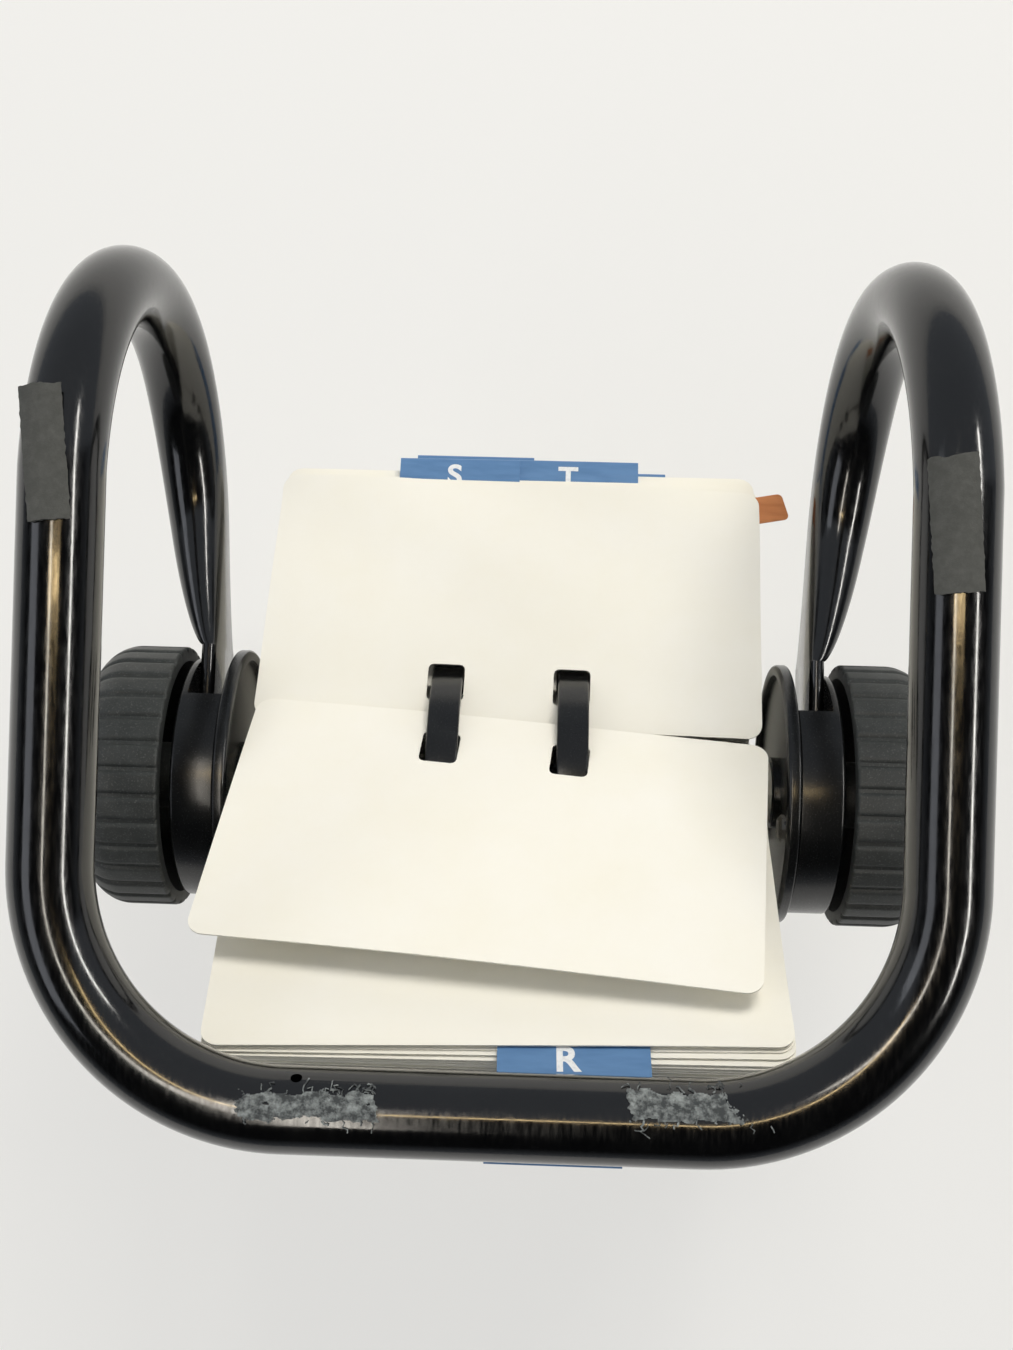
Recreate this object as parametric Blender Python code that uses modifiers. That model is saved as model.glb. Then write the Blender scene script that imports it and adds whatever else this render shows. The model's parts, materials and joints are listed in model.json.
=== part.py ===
"""Rotary card file: one bent tube carries a wheel of notched cards between two hand knobs.

Metres, +Z up, standing on its rubber pads as on a desk. The wheel turns about X, the cross-bar of
the tube lies behind it (+Y), and the two bends of the tube are in front (-Y). The origin is on the
desk, under the middle of the bounding box. Angles of the wheel are in degrees about +X, from the
back (+Y) over the top (+Z).
"""

import math

import bmesh
import bpy
from mathutils import Matrix, Vector

MM = 0.001

# Clearances and cuts
CLEARANCE = 0.3 * MM
CUT_OVERRUN = 2.0 * MM
MERGE_DISTANCE = 0.01 * MM

# Tube of the stand; radii of bends are those of its centre line
TUBE_DIAMETER = 14.2 * MM
CORNER_RADIUS = 39.0 * MM
LEG_OUTSIDE_BLADE = 11.1 * MM
CROSSBAR_BEHIND_AXIS = 49.2 * MM
BEND_RADIUS = 38.5 * MM
BEND_AHEAD_OF_AXIS = 54.2 * MM
BLADE_THICKNESS = 3.0 * MM
BLADE_FLAT_LENGTH = 26.5 * MM
FLATTENING_LENGTH = 58.0 * MM
FLATTENING_POWER = 0.66
TUBE_SIDES = 12
CORNER_STEPS = 8
BEND_STEPS = 16
ARM_STEPS = 10
TIP_STEPS = 3
TIP_SWEEP_DEG = 80

# Rubber pads under the legs, and what is left of two more under the cross-bar
PAD_THICKNESS = 1.2 * MM
PAD_WEAR = 0.3 * MM
PAD_LENGTH = 21.5 * MM
PAD_HALF_ANGLE_DEG = 25
LEFT_PAD_TURN_DEG = 14
RIGHT_PAD_TURN_DEG = 2
LEFT_PAD_AHEAD_OF_AXIS = 58.0 * MM
RIGHT_PAD_AHEAD_OF_AXIS = 47.0 * MM
RESIDUE_THICKNESS = 0.5 * MM
RESIDUE_LENGTH = 22.5 * MM
RESIDUE_OFFSET = 31.5 * MM
RESIDUE_TURN_DEG = 33
RESIDUE_HALF_ANGLE_DEG = 17

# Axle and wheel; "out" is the distance from the middle plane
AXIS_ABOVE_TUBE = 79.0 * MM
AXLE_DIAMETER = 6.0 * MM
SLEEVE_WALL = 1.4 * MM
RIM_SPACING = 25.4 * MM
RIM_RADIUS = 24.0 * MM
RIM_BAND_WIDTH = 6.2 * MM
RIM_BAND_THICKNESS = 1.2 * MM
RIM_EDGE_ROUNDING = 0.35 * MM
RIM_WEB_THICKNESS = 1.6 * MM
RIM_BOSS_WALL = 2.2 * MM
RIM_BOSS_LENGTH = 7.0 * MM
RIM_HOLES = 6
RIM_HOLE_DIAMETER = 9.0 * MM
RIM_HOLE_CIRCLE_DIAMETER = 29.0 * MM
DRIVE_PIN_DIAMETER = 2.0 * MM

# Bearing housings: a flange inboard, a slotted collar outboard, the tube's blade between them
CARD_SIDE_GAP = 3.0 * MM
FLANGE_THICKNESS = 2.6 * MM
FLANGE_RECESS = 1.2 * MM
FLANGE_LIP = 2.2 * MM
FLANGE_RADIUS = 26.4 * MM
FLANGE_BOSS_WALL = 4.0 * MM
COLLAR_RADIUS = 24.4 * MM
COLLAR_LENGTH = 8.5 * MM
COLLAR_WALL = 1.6 * MM
COLLAR_EDGE_ROUNDING = 0.8 * MM
COLLAR_BOSS_WALL = 2.4 * MM
COLLAR_SLOT_HALF_ANGLE_DEG = 50
BLADE_FLOOR_GAP = 0.3 * MM
BUSH_WALL = 1.4 * MM
SCREW_CIRCLE_RADIUS = 17.6 * MM
SCREW_ANGLES_DEG = (115, -115)
SCREW_SHANK_DIAMETER = 2.6 * MM
SCREW_SHANK_LENGTH = 8.0 * MM
SCREW_HEAD_DIAMETER = 5.4 * MM
SCREW_HEAD_HEIGHT = 1.4 * MM
SCREW_SLOT_WIDTH = 0.7 * MM
SCREW_SLOT_DEPTH = 0.6 * MM
SCREW_BOSS_WALL = 1.6 * MM
THRUST_WASHER_THICKNESS = 0.8 * MM
THRUST_WASHER_RIM = 3.2 * MM

# Wave washer that brakes the wheel, and the knobs
WAVE_THICKNESS = 0.5 * MM
WAVE_HEIGHT = 0.7 * MM
WAVE_RIM = 4.2 * MM
WAVES = 3
KNOB_RADIUS = 26.7 * MM
KNOB_LENGTH = 17.5 * MM
KNOB_WALL = 2.8 * MM
KNOB_END_WALL = 3.0 * MM
KNOB_ROUNDING = 8.0 * MM
KNOB_RIM_ROUNDING = 0.8 * MM
KNOB_HUB_WALL = 3.6 * MM
KNOB_GROOVES = 32
KNOB_GROOVE_RADIUS = 1.2 * MM
KNOB_GROOVE_DEPTH = 0.7 * MM
KNOB_DISH_DEPTH = 0.6 * MM

# Cards; distances along a card are from the rim that it hangs on
CARD_WIDTH = 101.6 * MM
CARD_HEIGHT = 57.15 * MM
CARD_THICKNESS = 0.4 * MM
CARD_CORNER_RADIUS = 3.2 * MM
CARD_TONGUE = 8.5 * MM
WINDOW_WIDTH = 7.4 * MM
WINDOW_BELOW_RIM = 3.2 * MM
WINDOW_ABOVE_RIM = 3.8 * MM
NECK_WIDTH = 3.0 * MM
TAB_WIDTH = 26.0 * MM
TAB_REACH = 5.5 * MM
TAB_SLEEVE_WALL = 0.35 * MM
TAB_SIDE_MARGIN = 0.6 * MM
FLAG_WIDTH = 12.0 * MM
FLAG_HEIGHT = 6.6 * MM
FLAG_THICKNESS = 0.3 * MM
FLAG_OVERHANG = 7.4 * MM
FLAG_BELOW_EDGE = 4.5 * MM
FLAG_CORNER_RADIUS = 1.0 * MM
FLAG_TURN_DEG = 14

# The fan of cards leaves a split between the front card and the loose card
FAN_MIDDLE_DEG = 47
FRONT_SPREAD_DEG = 113
FRONT_CROWDING = 3.0
BACK_SPREAD_DEG = 98
BACK_CROWDING = 2.5
FRONT_CARD_ANCHOR_DEG = 203
FRONT_CARD_TURN_DEG = 154
FRONT_CARD_ROLL_DEG = -0.8
LOOSE_CARD_ANCHOR_DEG = 255
LOOSE_CARD_TURN_DEG = 315
LOOSE_CARD_ROLL_DEG = 4.2
FIRST_FRONT_ANCHOR_DEG = 180
FRONT_CARDS = 13
SECOND_BACK_ANCHOR_DEG = -72
FIRST_BACK_ANCHOR_DEG = -67.5
BACK_CARDS = 11
# For each guide card, the middle of its tab as a share of the card's width
FRONT_TAB_SHARES = {0: 0.15, 1: -0.1, 2: 0.2}
BACK_TAB_SHARES = {0: 0.12, 4: 0.1}

# Places worked out from the sizes
TUBE_RADIUS = TUBE_DIAMETER / 2
TUBE_FACET_RADIUS = TUBE_RADIUS * math.cos(math.pi / TUBE_SIDES)
AXLE_RADIUS = AXLE_DIAMETER / 2
TUBE_CENTRE_HEIGHT = PAD_THICKNESS + TUBE_RADIUS
AXIS_HEIGHT = PAD_THICKNESS + AXIS_ABOVE_TUBE
RIM_MIDDLE_RADIUS = RIM_RADIUS - RIM_BAND_THICKNESS / 2
CARD_REACH = CARD_HEIGHT - CARD_TONGUE
SLEEVE_RADIUS = AXLE_RADIUS + CLEARANCE + SLEEVE_WALL
RIM_BOSS_BORE = SLEEVE_RADIUS + CLEARANCE
FLANGE_OUT = CARD_WIDTH / 2 + CARD_SIDE_GAP
FLANGE_BACK = FLANGE_OUT + FLANGE_THICKNESS
COLLAR_OPEN_END = FLANGE_BACK + CLEARANCE
COLLAR_END = COLLAR_OPEN_END + COLLAR_LENGTH
COLLAR_FLOOR = COLLAR_END - COLLAR_WALL
BLADE_OUT = COLLAR_FLOOR - BLADE_FLOOR_GAP - BLADE_THICKNESS / 2
LEG_SPACING = 2 * (BLADE_OUT + LEG_OUTSIDE_BLADE)
BUSH_BORE = AXLE_RADIUS + CLEARANCE
BUSH_RADIUS = BUSH_BORE + BUSH_WALL
COLLAR_BOSS_RADIUS = BUSH_RADIUS + CLEARANCE + COLLAR_BOSS_WALL
BLADE_BORE = COLLAR_BOSS_RADIUS + CLEARANCE
THRUST_WASHER_OUT = FLANGE_OUT - CLEARANCE
SLEEVE_HALF_LENGTH = THRUST_WASHER_OUT - THRUST_WASHER_THICKNESS - CLEARANCE
WAVE_OUT = COLLAR_END + CLEARANCE
KNOB_HUB_OUT = WAVE_OUT + WAVE_THICKNESS + WAVE_HEIGHT + CLEARANCE
KNOB_END = KNOB_HUB_OUT + KNOB_LENGTH
AXLE_HALF_LENGTH = KNOB_END - KNOB_END_WALL - CLEARANCE

BLACK_ENAMEL = ("black_enamel", (0.012, 0.012, 0.014), 0.12, 0.0)
BLACK_PLASTIC = ("black_moulded_plastic", (0.018, 0.018, 0.020), 0.35, 0.0)
CHARCOAL_PLASTIC = ("charcoal_textured_plastic", (0.035, 0.037, 0.040), 0.6, 0.0)
BRIGHT_STEEL = ("bright_steel", (0.60, 0.60, 0.58), 0.3, 1.0)
NYLON = ("natural_nylon", (0.75, 0.73, 0.66), 0.45, 0.0)
GREY_RUBBER = ("grey_rubber", (0.09, 0.09, 0.08), 0.85, 0.0)
DRIED_ADHESIVE = ("dried_adhesive", (0.45, 0.47, 0.46), 0.8, 0.0)
CARD_STOCK = ("ivory_card_stock", (0.93, 0.90, 0.80), 0.85, 0.0)
BLUE_TAB = ("blue_tab_plastic", (0.09, 0.20, 0.42), 0.4, 0.0)
ORANGE_TAB = ("orange_index_plastic", (0.55, 0.21, 0.06), 0.5, 0.0)

REVOLVE_STEPS = 24
RIM_STEPS = 30
SMALL_REVOLVE_STEPS = 14
HOLE_STEPS = 8
ARC_STEPS = 2
CROWN_STEPS = 4
GROOVE_SIDES = 6
PATCH_STEPS = 6
RESIDUE_STEPS = 4
WAVE_STEPS = 18
SMOOTH_ANGLE = math.radians(35)


def clear_scene():
    for obj in list(bpy.data.objects):
        bpy.data.objects.remove(obj, do_unlink=True)


def make_collection(name):
    collection = bpy.data.collections.new(name)
    bpy.context.scene.collection.children.link(collection)
    return collection


clear_scene()
PARTS = make_collection("rotary_card_file")
CUTTERS = make_collection("cutters")


def material(spec):
    name, colour, roughness, metallic = spec
    found = bpy.data.materials.get(name)
    if found:
        return found
    made = bpy.data.materials.new(name)
    made.use_nodes = True
    shader = made.node_tree.nodes["Principled BSDF"]
    shader.inputs["Base Color"].default_value = (*colour, 1.0)
    shader.inputs["Roughness"].default_value = roughness
    shader.inputs["Metallic"].default_value = metallic
    return made


def add_object(name, data, spec=None, parent=None):
    """An object of the model, or a hidden cutter where it has no material."""
    obj = bpy.data.objects.new(name, data)
    if spec is None:
        CUTTERS.objects.link(obj)
        obj.hide_render = True
        obj.display_type = "WIRE"
    else:
        PARTS.objects.link(obj)
        if data is not None and not data.materials:
            data.materials.append(material(spec))
    obj.parent = parent
    return obj


def polar(radius, angle):
    """A point at an angle in degrees, measured from the first axis."""
    turn = math.radians(angle)
    return radius * math.cos(turn), radius * math.sin(turn)


def arc(centre, radius, start, end, steps=ARC_STEPS):
    """Points of an arc between two angles in degrees."""
    points = []
    for step in range(steps + 1):
        across, along = polar(radius, start + (end - start) * step / steps)
        points.append((centre[0] + across, centre[1] + along))
    return points


def signed_area(points):
    pairs = zip(points, points[1:] + points[:1])
    return sum(a[0] * b[1] - b[0] * a[1] for a, b in pairs) / 2


def modify(obj, kind, **settings):
    modifier = obj.modifiers.new(kind.title(), kind)
    for key, value in settings.items():
        setattr(modifier, key, value)
    return modifier


def smooth(mesh):
    mesh.shade_smooth()
    mesh.set_sharp_from_angle(angle=SMOOTH_ANGLE)


def place_on_axis(obj, side, origin):
    """Lays the object's own Z along +X on side 1, or along -X on side -1."""
    obj.rotation_euler = (0, side * math.pi / 2, 0)
    obj.location = origin


def revolve(name, profile, spec, side, origin, parent=None, steps=REVOLVE_STEPS):
    """Turns a profile of (radius, distance out from the middle plane) about the wheel's axis."""
    points = list(profile)
    if signed_area(points) > 0:
        points.reverse()
    count = len(points)
    edges = []
    for index in range(count):
        after = (index + 1) % count
        if points[index][0] > 0 or points[after][0] > 0:
            edges.append((index, after))
    mesh = bpy.data.meshes.new(name)
    mesh.from_pydata([(radius, 0, out) for radius, out in points], edges, [])
    obj = add_object(name, mesh, spec, parent)
    modify(
        obj,
        "SCREW",
        axis="Z",
        angle=math.tau,
        steps=steps,
        render_steps=steps,
        use_smooth_shade=True,
        use_merge_vertices=True,
        merge_threshold=MERGE_DISTANCE,
    )
    place_on_axis(obj, side, origin)
    return obj


def cylinder_mesh(name, radius, length, steps):
    mesh = bpy.data.meshes.new(name)
    shape = bmesh.new()
    bmesh.ops.create_cone(
        shape, cap_ends=True, segments=steps, radius1=radius, radius2=radius, depth=length
    )
    shape.to_mesh(mesh)
    shape.free()
    return mesh


def axial_cutter(name, radius, start, end, side, centre, steps=HOLE_STEPS):
    """A cylinder along X between two distances out, about a centre in the YZ plane."""
    mesh = cylinder_mesh(name, radius, end - start, steps)
    obj = add_object(name, mesh)
    obj.rotation_euler = (0, math.pi / 2, 0)
    obj.location = (side * (start + end) / 2, centre[0], centre[1])
    return obj


def combine(obj, other, operation="DIFFERENCE"):
    modify(obj, "BOOLEAN", operation=operation, object=other)


def outline(name, points, thickness, spec, parent=None):
    """A flat plate from a closed outline in its own XY plane."""
    curve = bpy.data.curves.new(name, "CURVE")
    curve.dimensions = "2D"
    curve.fill_mode = "BOTH"
    curve.extrude = thickness / 2
    spline = curve.splines.new("POLY")
    spline.points.add(len(points) - 1)
    for point, (across, along) in zip(spline.points, points):
        point.co = (across, along, 0, 1)
    spline.use_cyclic_u = True
    return add_object(name, curve, spec, parent)


def arm_slope():
    """The angle below the horizontal at which the arm runs down from its bend to the axis."""
    rise = AXIS_HEIGHT - TUBE_CENTRE_HEIGHT - BEND_RADIUS
    reach = math.hypot(BEND_AHEAD_OF_AXIS, rise)
    return math.asin(BEND_RADIUS / reach) - math.atan2(rise, BEND_AHEAD_OF_AXIS)


def arm_length():
    rise = AXIS_HEIGHT - TUBE_CENTRE_HEIGHT - BEND_RADIUS
    reach = math.hypot(BEND_AHEAD_OF_AXIS, rise)
    return math.sqrt(reach**2 - BEND_RADIUS**2)


def card_direction(anchor):
    """The direction in which a card points, from the place on the rim where it hangs."""
    if anchor >= FAN_MIDDLE_DEG:
        share = (anchor - FAN_MIDDLE_DEG) / 180
        return FAN_MIDDLE_DEG + FRONT_SPREAD_DEG * (1 - (1 - share) ** FRONT_CROWDING)
    share = (FAN_MIDDLE_DEG - anchor) / 180
    return FAN_MIDDLE_DEG - BACK_SPREAD_DEG * (1 - (1 - share) ** BACK_CROWDING)


def fan():
    """Name, anchor, direction, roll and tab place of each card, from the front card backwards."""
    cards = [("front_card", FRONT_CARD_ANCHOR_DEG, FRONT_CARD_TURN_DEG, FRONT_CARD_ROLL_DEG, None)]
    number = 0
    guide = 0
    front_step = (FIRST_FRONT_ANCHOR_DEG - FAN_MIDDLE_DEG) / (FRONT_CARDS - 1)
    back_step = (FAN_MIDDLE_DEG - FIRST_BACK_ANCHOR_DEG) / BACK_CARDS
    places = [
        (FIRST_FRONT_ANCHOR_DEG - front_step * index, FRONT_TAB_SHARES.get(index))
        for index in range(FRONT_CARDS)
    ]
    places += [
        (FIRST_BACK_ANCHOR_DEG + back_step * index, BACK_TAB_SHARES.get(index))
        for index in reversed(range(BACK_CARDS))
    ]
    places.append((SECOND_BACK_ANCHOR_DEG, None))
    for anchor, tab_share in places:
        if tab_share is None:
            number += 1
            name = f"card_{number:02d}"
        else:
            guide += 1
            name = f"guide_card_{guide}"
        cards.append((name, anchor, card_direction(anchor), 0, tab_share))
    cards.append(
        ("loose_card", LOOSE_CARD_ANCHOR_DEG, LOOSE_CARD_TURN_DEG, LOOSE_CARD_ROLL_DEG, None)
    )
    return cards


def rear_reach():
    """How far the cards and tabs stand behind the axis."""
    reaches = []
    for _, anchor, direction, _, tab_share in fan():
        length = CARD_REACH + (TAB_REACH if tab_share is not None else 0)
        across = polar(CARD_THICKNESS / 2 + CLEARANCE + TAB_SLEEVE_WALL, direction + 90)[0]
        edge = polar(RIM_MIDDLE_RADIUS, anchor)[0] + polar(length, direction)[0]
        reaches.append(edge + abs(across))
    return max(reaches)


FRONT_REACH = BEND_AHEAD_OF_AXIS + BEND_RADIUS + TUBE_FACET_RADIUS
AXIS_BACK = (FRONT_REACH - rear_reach()) / 2
HUB = Vector((0, AXIS_BACK, AXIS_HEIGHT))


def section(centre, wide, thin, width, thickness):
    """The points of one section of the tube: a circle, or two half circles drawn apart."""
    points = []
    half = TUBE_SIDES // 2
    for index in range(TUBE_SIDES):
        turn = math.pi * (index % half + 0.5) / half - math.pi / 2
        end = 1 if index < half else -1
        along = end * ((width - thickness) / 2 + thickness / 2 * math.cos(turn))
        across = end * thickness / 2 * math.sin(turn)
        points.append(centre + wide * along + thin * across)
    return points


def flat_width(thickness):
    """The width that keeps the tube's girth when it is pressed to a thickness."""
    return thickness + math.pi * (TUBE_DIAMETER - thickness) / 2


def tube_sections():
    """The sections of the right half of the tube, from the middle plane to the blade's tip."""
    up = Vector((0, 0, 1))
    leg_x = LEG_SPACING / 2
    corner_y = AXIS_BACK + CROSSBAR_BEHIND_AXIS - CORNER_RADIUS
    corner = Vector((leg_x - CORNER_RADIUS, corner_y, TUBE_CENTRE_HEIGHT))
    sections = []
    start = Vector((0, corner_y + CORNER_RADIUS, TUBE_CENTRE_HEIGHT))
    sections.append(section(start, up, Vector((0, 1, 0)), TUBE_DIAMETER, TUBE_DIAMETER))
    for step in range(CORNER_STEPS + 1):
        turn = math.pi / 2 * step / CORNER_STEPS
        outward = Vector((math.sin(turn), math.cos(turn), 0))
        centre = corner + outward * CORNER_RADIUS
        sections.append(section(centre, up, outward, TUBE_DIAMETER, TUBE_DIAMETER))

    slope = arm_slope()
    bend_turn = math.pi + slope
    bend_length = BEND_RADIUS * bend_turn
    flat_start = bend_length + arm_length() - BLADE_FLAT_LENGTH
    blade_inner = BLADE_OUT - BLADE_THICKNESS / 2
    bend_y = AXIS_BACK - BEND_AHEAD_OF_AXIS
    bend_z = TUBE_CENTRE_HEIGHT + BEND_RADIUS

    def sideways(travelled):
        """Thickness of the tube here, and how far out its middle lies."""
        share = min(max((flat_start - travelled) / FLATTENING_LENGTH, 0), 1)
        fullness = math.sin(math.pi / 2 * share) ** FLATTENING_POWER
        thickness = BLADE_THICKNESS + (TUBE_DIAMETER - BLADE_THICKNESS) * fullness
        leg_inner = leg_x - TUBE_RADIUS
        toe_in = (leg_inner - blade_inner) * min(travelled / flat_start, 1)
        return thickness, leg_inner - toe_in + thickness / 2

    outboard = Vector((1, 0, 0))
    for step in range(BEND_STEPS + 1):
        turn = bend_turn * step / BEND_STEPS
        away = Vector((0, -math.sin(turn), -math.cos(turn)))
        thickness, out = sideways(BEND_RADIUS * turn)
        centre = Vector((out, bend_y, bend_z)) + away * BEND_RADIUS
        sections.append(section(centre, -away, outboard, flat_width(thickness), thickness))

    along = Vector((0, math.cos(slope), -math.sin(slope)))
    above = Vector((0, math.sin(slope), math.cos(slope)))
    arm_start = Vector((0, bend_y, bend_z)) + above * BEND_RADIUS
    for step in range(1, ARM_STEPS + 1):
        ease = 1 - (1 - step / ARM_STEPS) ** 2
        travelled = (flat_start - bend_length) * ease
        thickness, out = sideways(bend_length + travelled)
        centre = arm_start + along * travelled + outboard * out
        sections.append(section(centre, -above, outboard, flat_width(thickness), thickness))

    blade_width = flat_width(BLADE_THICKNESS)
    hub = Vector((BLADE_OUT, AXIS_BACK, AXIS_HEIGHT))
    for step in range(TIP_STEPS + 1):
        turn = math.radians(TIP_SWEEP_DEG) * step / TIP_STEPS
        centre = hub + along * (blade_width / 2 * math.sin(turn))
        width = blade_width * math.cos(turn)
        sections.append(section(centre, -above, outboard, width, BLADE_THICKNESS))
    return sections


def bridge(shape, rings):
    """Joins each ring of vertices to the next with a band of faces."""
    for ring, after in zip(rings, rings[1:]):
        for index in range(len(ring)):
            beside = (index + 1) % len(ring)
            shape.faces.new((ring[index], ring[beside], after[beside], after[index]))


def make_frame_tube():
    """The stand: one length of tube, lofted through its sections, with flattened, bored ends."""
    shape = bmesh.new()
    rings = [[shape.verts.new(point) for point in points] for points in tube_sections()]
    bridge(shape, rings)
    shape.faces.new(rings[-1])
    bmesh.ops.recalc_face_normals(shape, faces=shape.faces)
    mesh = bpy.data.meshes.new("frame_tube")
    shape.to_mesh(mesh)
    shape.free()
    smooth(mesh)
    tube = add_object("frame_tube", mesh, BLACK_ENAMEL)
    modify(tube, "MIRROR", use_axis=(True, False, False), merge_threshold=MERGE_DISTANCE)
    for side in (-1, 1):
        bore = axial_cutter(
            "blade_bore_cutter",
            BLADE_BORE,
            BLADE_OUT - BLADE_THICKNESS,
            BLADE_OUT + BLADE_THICKNESS,
            side,
            (AXIS_BACK, AXIS_HEIGHT),
            SMALL_REVOLVE_STEPS,
        )
        combine(tube, bore)
    return tube


def sleeve_patch(name, inner, outer, floor, turn, half_angle, length, spec):
    """A strip that hugs the underside of a tube, flat where it would pass the floor below it."""
    first = -90 + turn - half_angle
    last = -90 + turn + half_angle
    points = arc((0, 0), inner, first, last, PATCH_STEPS)
    for across, along in arc((0, 0), outer, last, first, 2 * PATCH_STEPS):
        points.append((across, max(along, -floor)))
    return outline(name, points, length, spec)


def make_pads():
    """Rubber strips glued along the underside of the legs, worn flat where they stand."""
    pads = (
        ("left_foot_pad", -1, LEFT_PAD_TURN_DEG, LEFT_PAD_AHEAD_OF_AXIS),
        ("right_foot_pad", 1, RIGHT_PAD_TURN_DEG, RIGHT_PAD_AHEAD_OF_AXIS),
    )
    inner = TUBE_RADIUS + CLEARANCE
    outer = TUBE_RADIUS + PAD_THICKNESS + PAD_WEAR
    for name, side, turn, ahead in pads:
        pad = sleeve_patch(
            name, inner, outer, TUBE_CENTRE_HEIGHT, side * turn, PAD_HALF_ANGLE_DEG,
            PAD_LENGTH, GREY_RUBBER,
        )
        pad.rotation_euler = (math.pi / 2, 0, 0)
        pad.location = (side * LEG_SPACING / 2, AXIS_BACK - ahead, TUBE_CENTRE_HEIGHT)


def crossbar_station(distance):
    """The centre of the tube at a distance from the middle plane along it, and the way outward."""
    corner_x = LEG_SPACING / 2 - CORNER_RADIUS
    corner_y = AXIS_BACK + CROSSBAR_BEHIND_AXIS - CORNER_RADIUS
    turn = max(distance - corner_x, 0) / CORNER_RADIUS
    outward = Vector((math.sin(turn), math.cos(turn), 0))
    centre = Vector((min(distance, corner_x), corner_y, TUBE_CENTRE_HEIGHT))
    return centre + outward * CORNER_RADIUS, outward


def make_residue():
    """Dried adhesive under the cross-bar, where two more pads have come off."""
    inner = TUBE_RADIUS + CLEARANCE
    outer = inner + RESIDUE_THICKNESS
    first = -90 - RESIDUE_TURN_DEG - RESIDUE_HALF_ANGLE_DEG
    last = first + 2 * RESIDUE_HALF_ANGLE_DEG
    outline_points = arc((0, 0), inner, first, last, PATCH_STEPS)
    outline_points += arc((0, 0), outer, last, first, PATCH_STEPS)
    for name, side in (("left_pad_residue", -1), ("right_pad_residue", 1)):
        shape = bmesh.new()
        rings = []
        for step in range(RESIDUE_STEPS + 1):
            distance = RESIDUE_OFFSET + RESIDUE_LENGTH * (step / RESIDUE_STEPS - 0.5)
            centre, outward = crossbar_station(distance)
            ring = []
            for across, along in outline_points:
                point = centre + outward * across + Vector((0, 0, along))
                ring.append(shape.verts.new((side * point.x, point.y, point.z)))
            rings.append(ring)
        bridge(shape, rings)
        shape.faces.new(rings[0])
        shape.faces.new(rings[-1])
        bmesh.ops.recalc_face_normals(shape, faces=shape.faces)
        mesh = bpy.data.meshes.new(name)
        shape.to_mesh(mesh)
        shape.free()
        add_object(name, mesh, DRIED_ADHESIVE)


def screw_places():
    """Centres of the housing screws in the YZ plane, turned with the slope of the arm."""
    arm = 180 - math.degrees(arm_slope())
    for angle in SCREW_ANGLES_DEG:
        back, up = polar(SCREW_CIRCLE_RADIUS, arm + angle)
        yield AXIS_BACK + back, AXIS_HEIGHT + up


def make_collar(name, side):
    """The outboard cup of a bearing housing, slotted where the blade of the tube comes in."""
    outer = COLLAR_RADIUS
    inner = outer - COLLAR_WALL
    bore = BUSH_RADIUS + CLEARANCE
    rounding = COLLAR_EDGE_ROUNDING
    profile = [(bore, COLLAR_END)]
    profile += reversed(arc((outer - rounding, COLLAR_END - rounding), rounding, 0, 90))
    profile += [
        (outer, COLLAR_OPEN_END),
        (inner, COLLAR_OPEN_END),
        (inner, COLLAR_FLOOR),
        (COLLAR_BOSS_RADIUS, COLLAR_FLOOR),
        (COLLAR_BOSS_RADIUS, COLLAR_OPEN_END),
        (bore, COLLAR_OPEN_END),
    ]
    collar = revolve(name, profile, BLACK_PLASTIC, side, HUB)
    hole_radius = SCREW_SHANK_DIAMETER / 2 + CLEARANCE
    boss_radius = hole_radius + SCREW_BOSS_WALL
    middle_of_floor = COLLAR_FLOOR + COLLAR_WALL / 2
    for centre in screw_places():
        boss = axial_cutter("screw_boss", boss_radius, COLLAR_OPEN_END, middle_of_floor, side, centre)
        combine(collar, boss, "UNION")
    hole_end = FLANGE_OUT + FLANGE_RECESS + SCREW_SHANK_LENGTH + CLEARANCE
    for centre in screw_places():
        hole = axial_cutter(
            "screw_hole", hole_radius, COLLAR_OPEN_END - CUT_OVERRUN, hole_end, side, centre
        )
        combine(collar, hole)
    combine(collar, collar_slot_cutter(side))
    return collar


def collar_slot_cutter(side):
    """A block that opens the cup's wall towards the arm, as deep as the blade needs."""
    slot_end = BLADE_OUT + BLADE_THICKNESS / 2 + CLEARANCE
    slot_start = COLLAR_OPEN_END - CUT_OVERRUN
    near, half_height = polar(COLLAR_RADIUS, COLLAR_SLOT_HALF_ANGLE_DEG)
    far = COLLAR_RADIUS + CUT_OVERRUN
    mesh = bpy.data.meshes.new("collar_slot")
    shape = bmesh.new()
    bmesh.ops.create_cube(shape, size=1)
    size = Matrix.Diagonal((slot_end - slot_start, far - near, 2 * half_height, 1))
    bmesh.ops.transform(shape, matrix=size, verts=shape.verts)
    shape.to_mesh(mesh)
    shape.free()
    cutter = add_object("collar_slot_cutter", mesh)
    cutter.rotation_euler = (-arm_slope(), 0, 0)
    ahead = (near + far) / 2
    back, up = polar(ahead, 180 - math.degrees(arm_slope()))
    cutter.location = HUB + Vector((side * (slot_start + slot_end) / 2, back, up))
    return cutter


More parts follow.
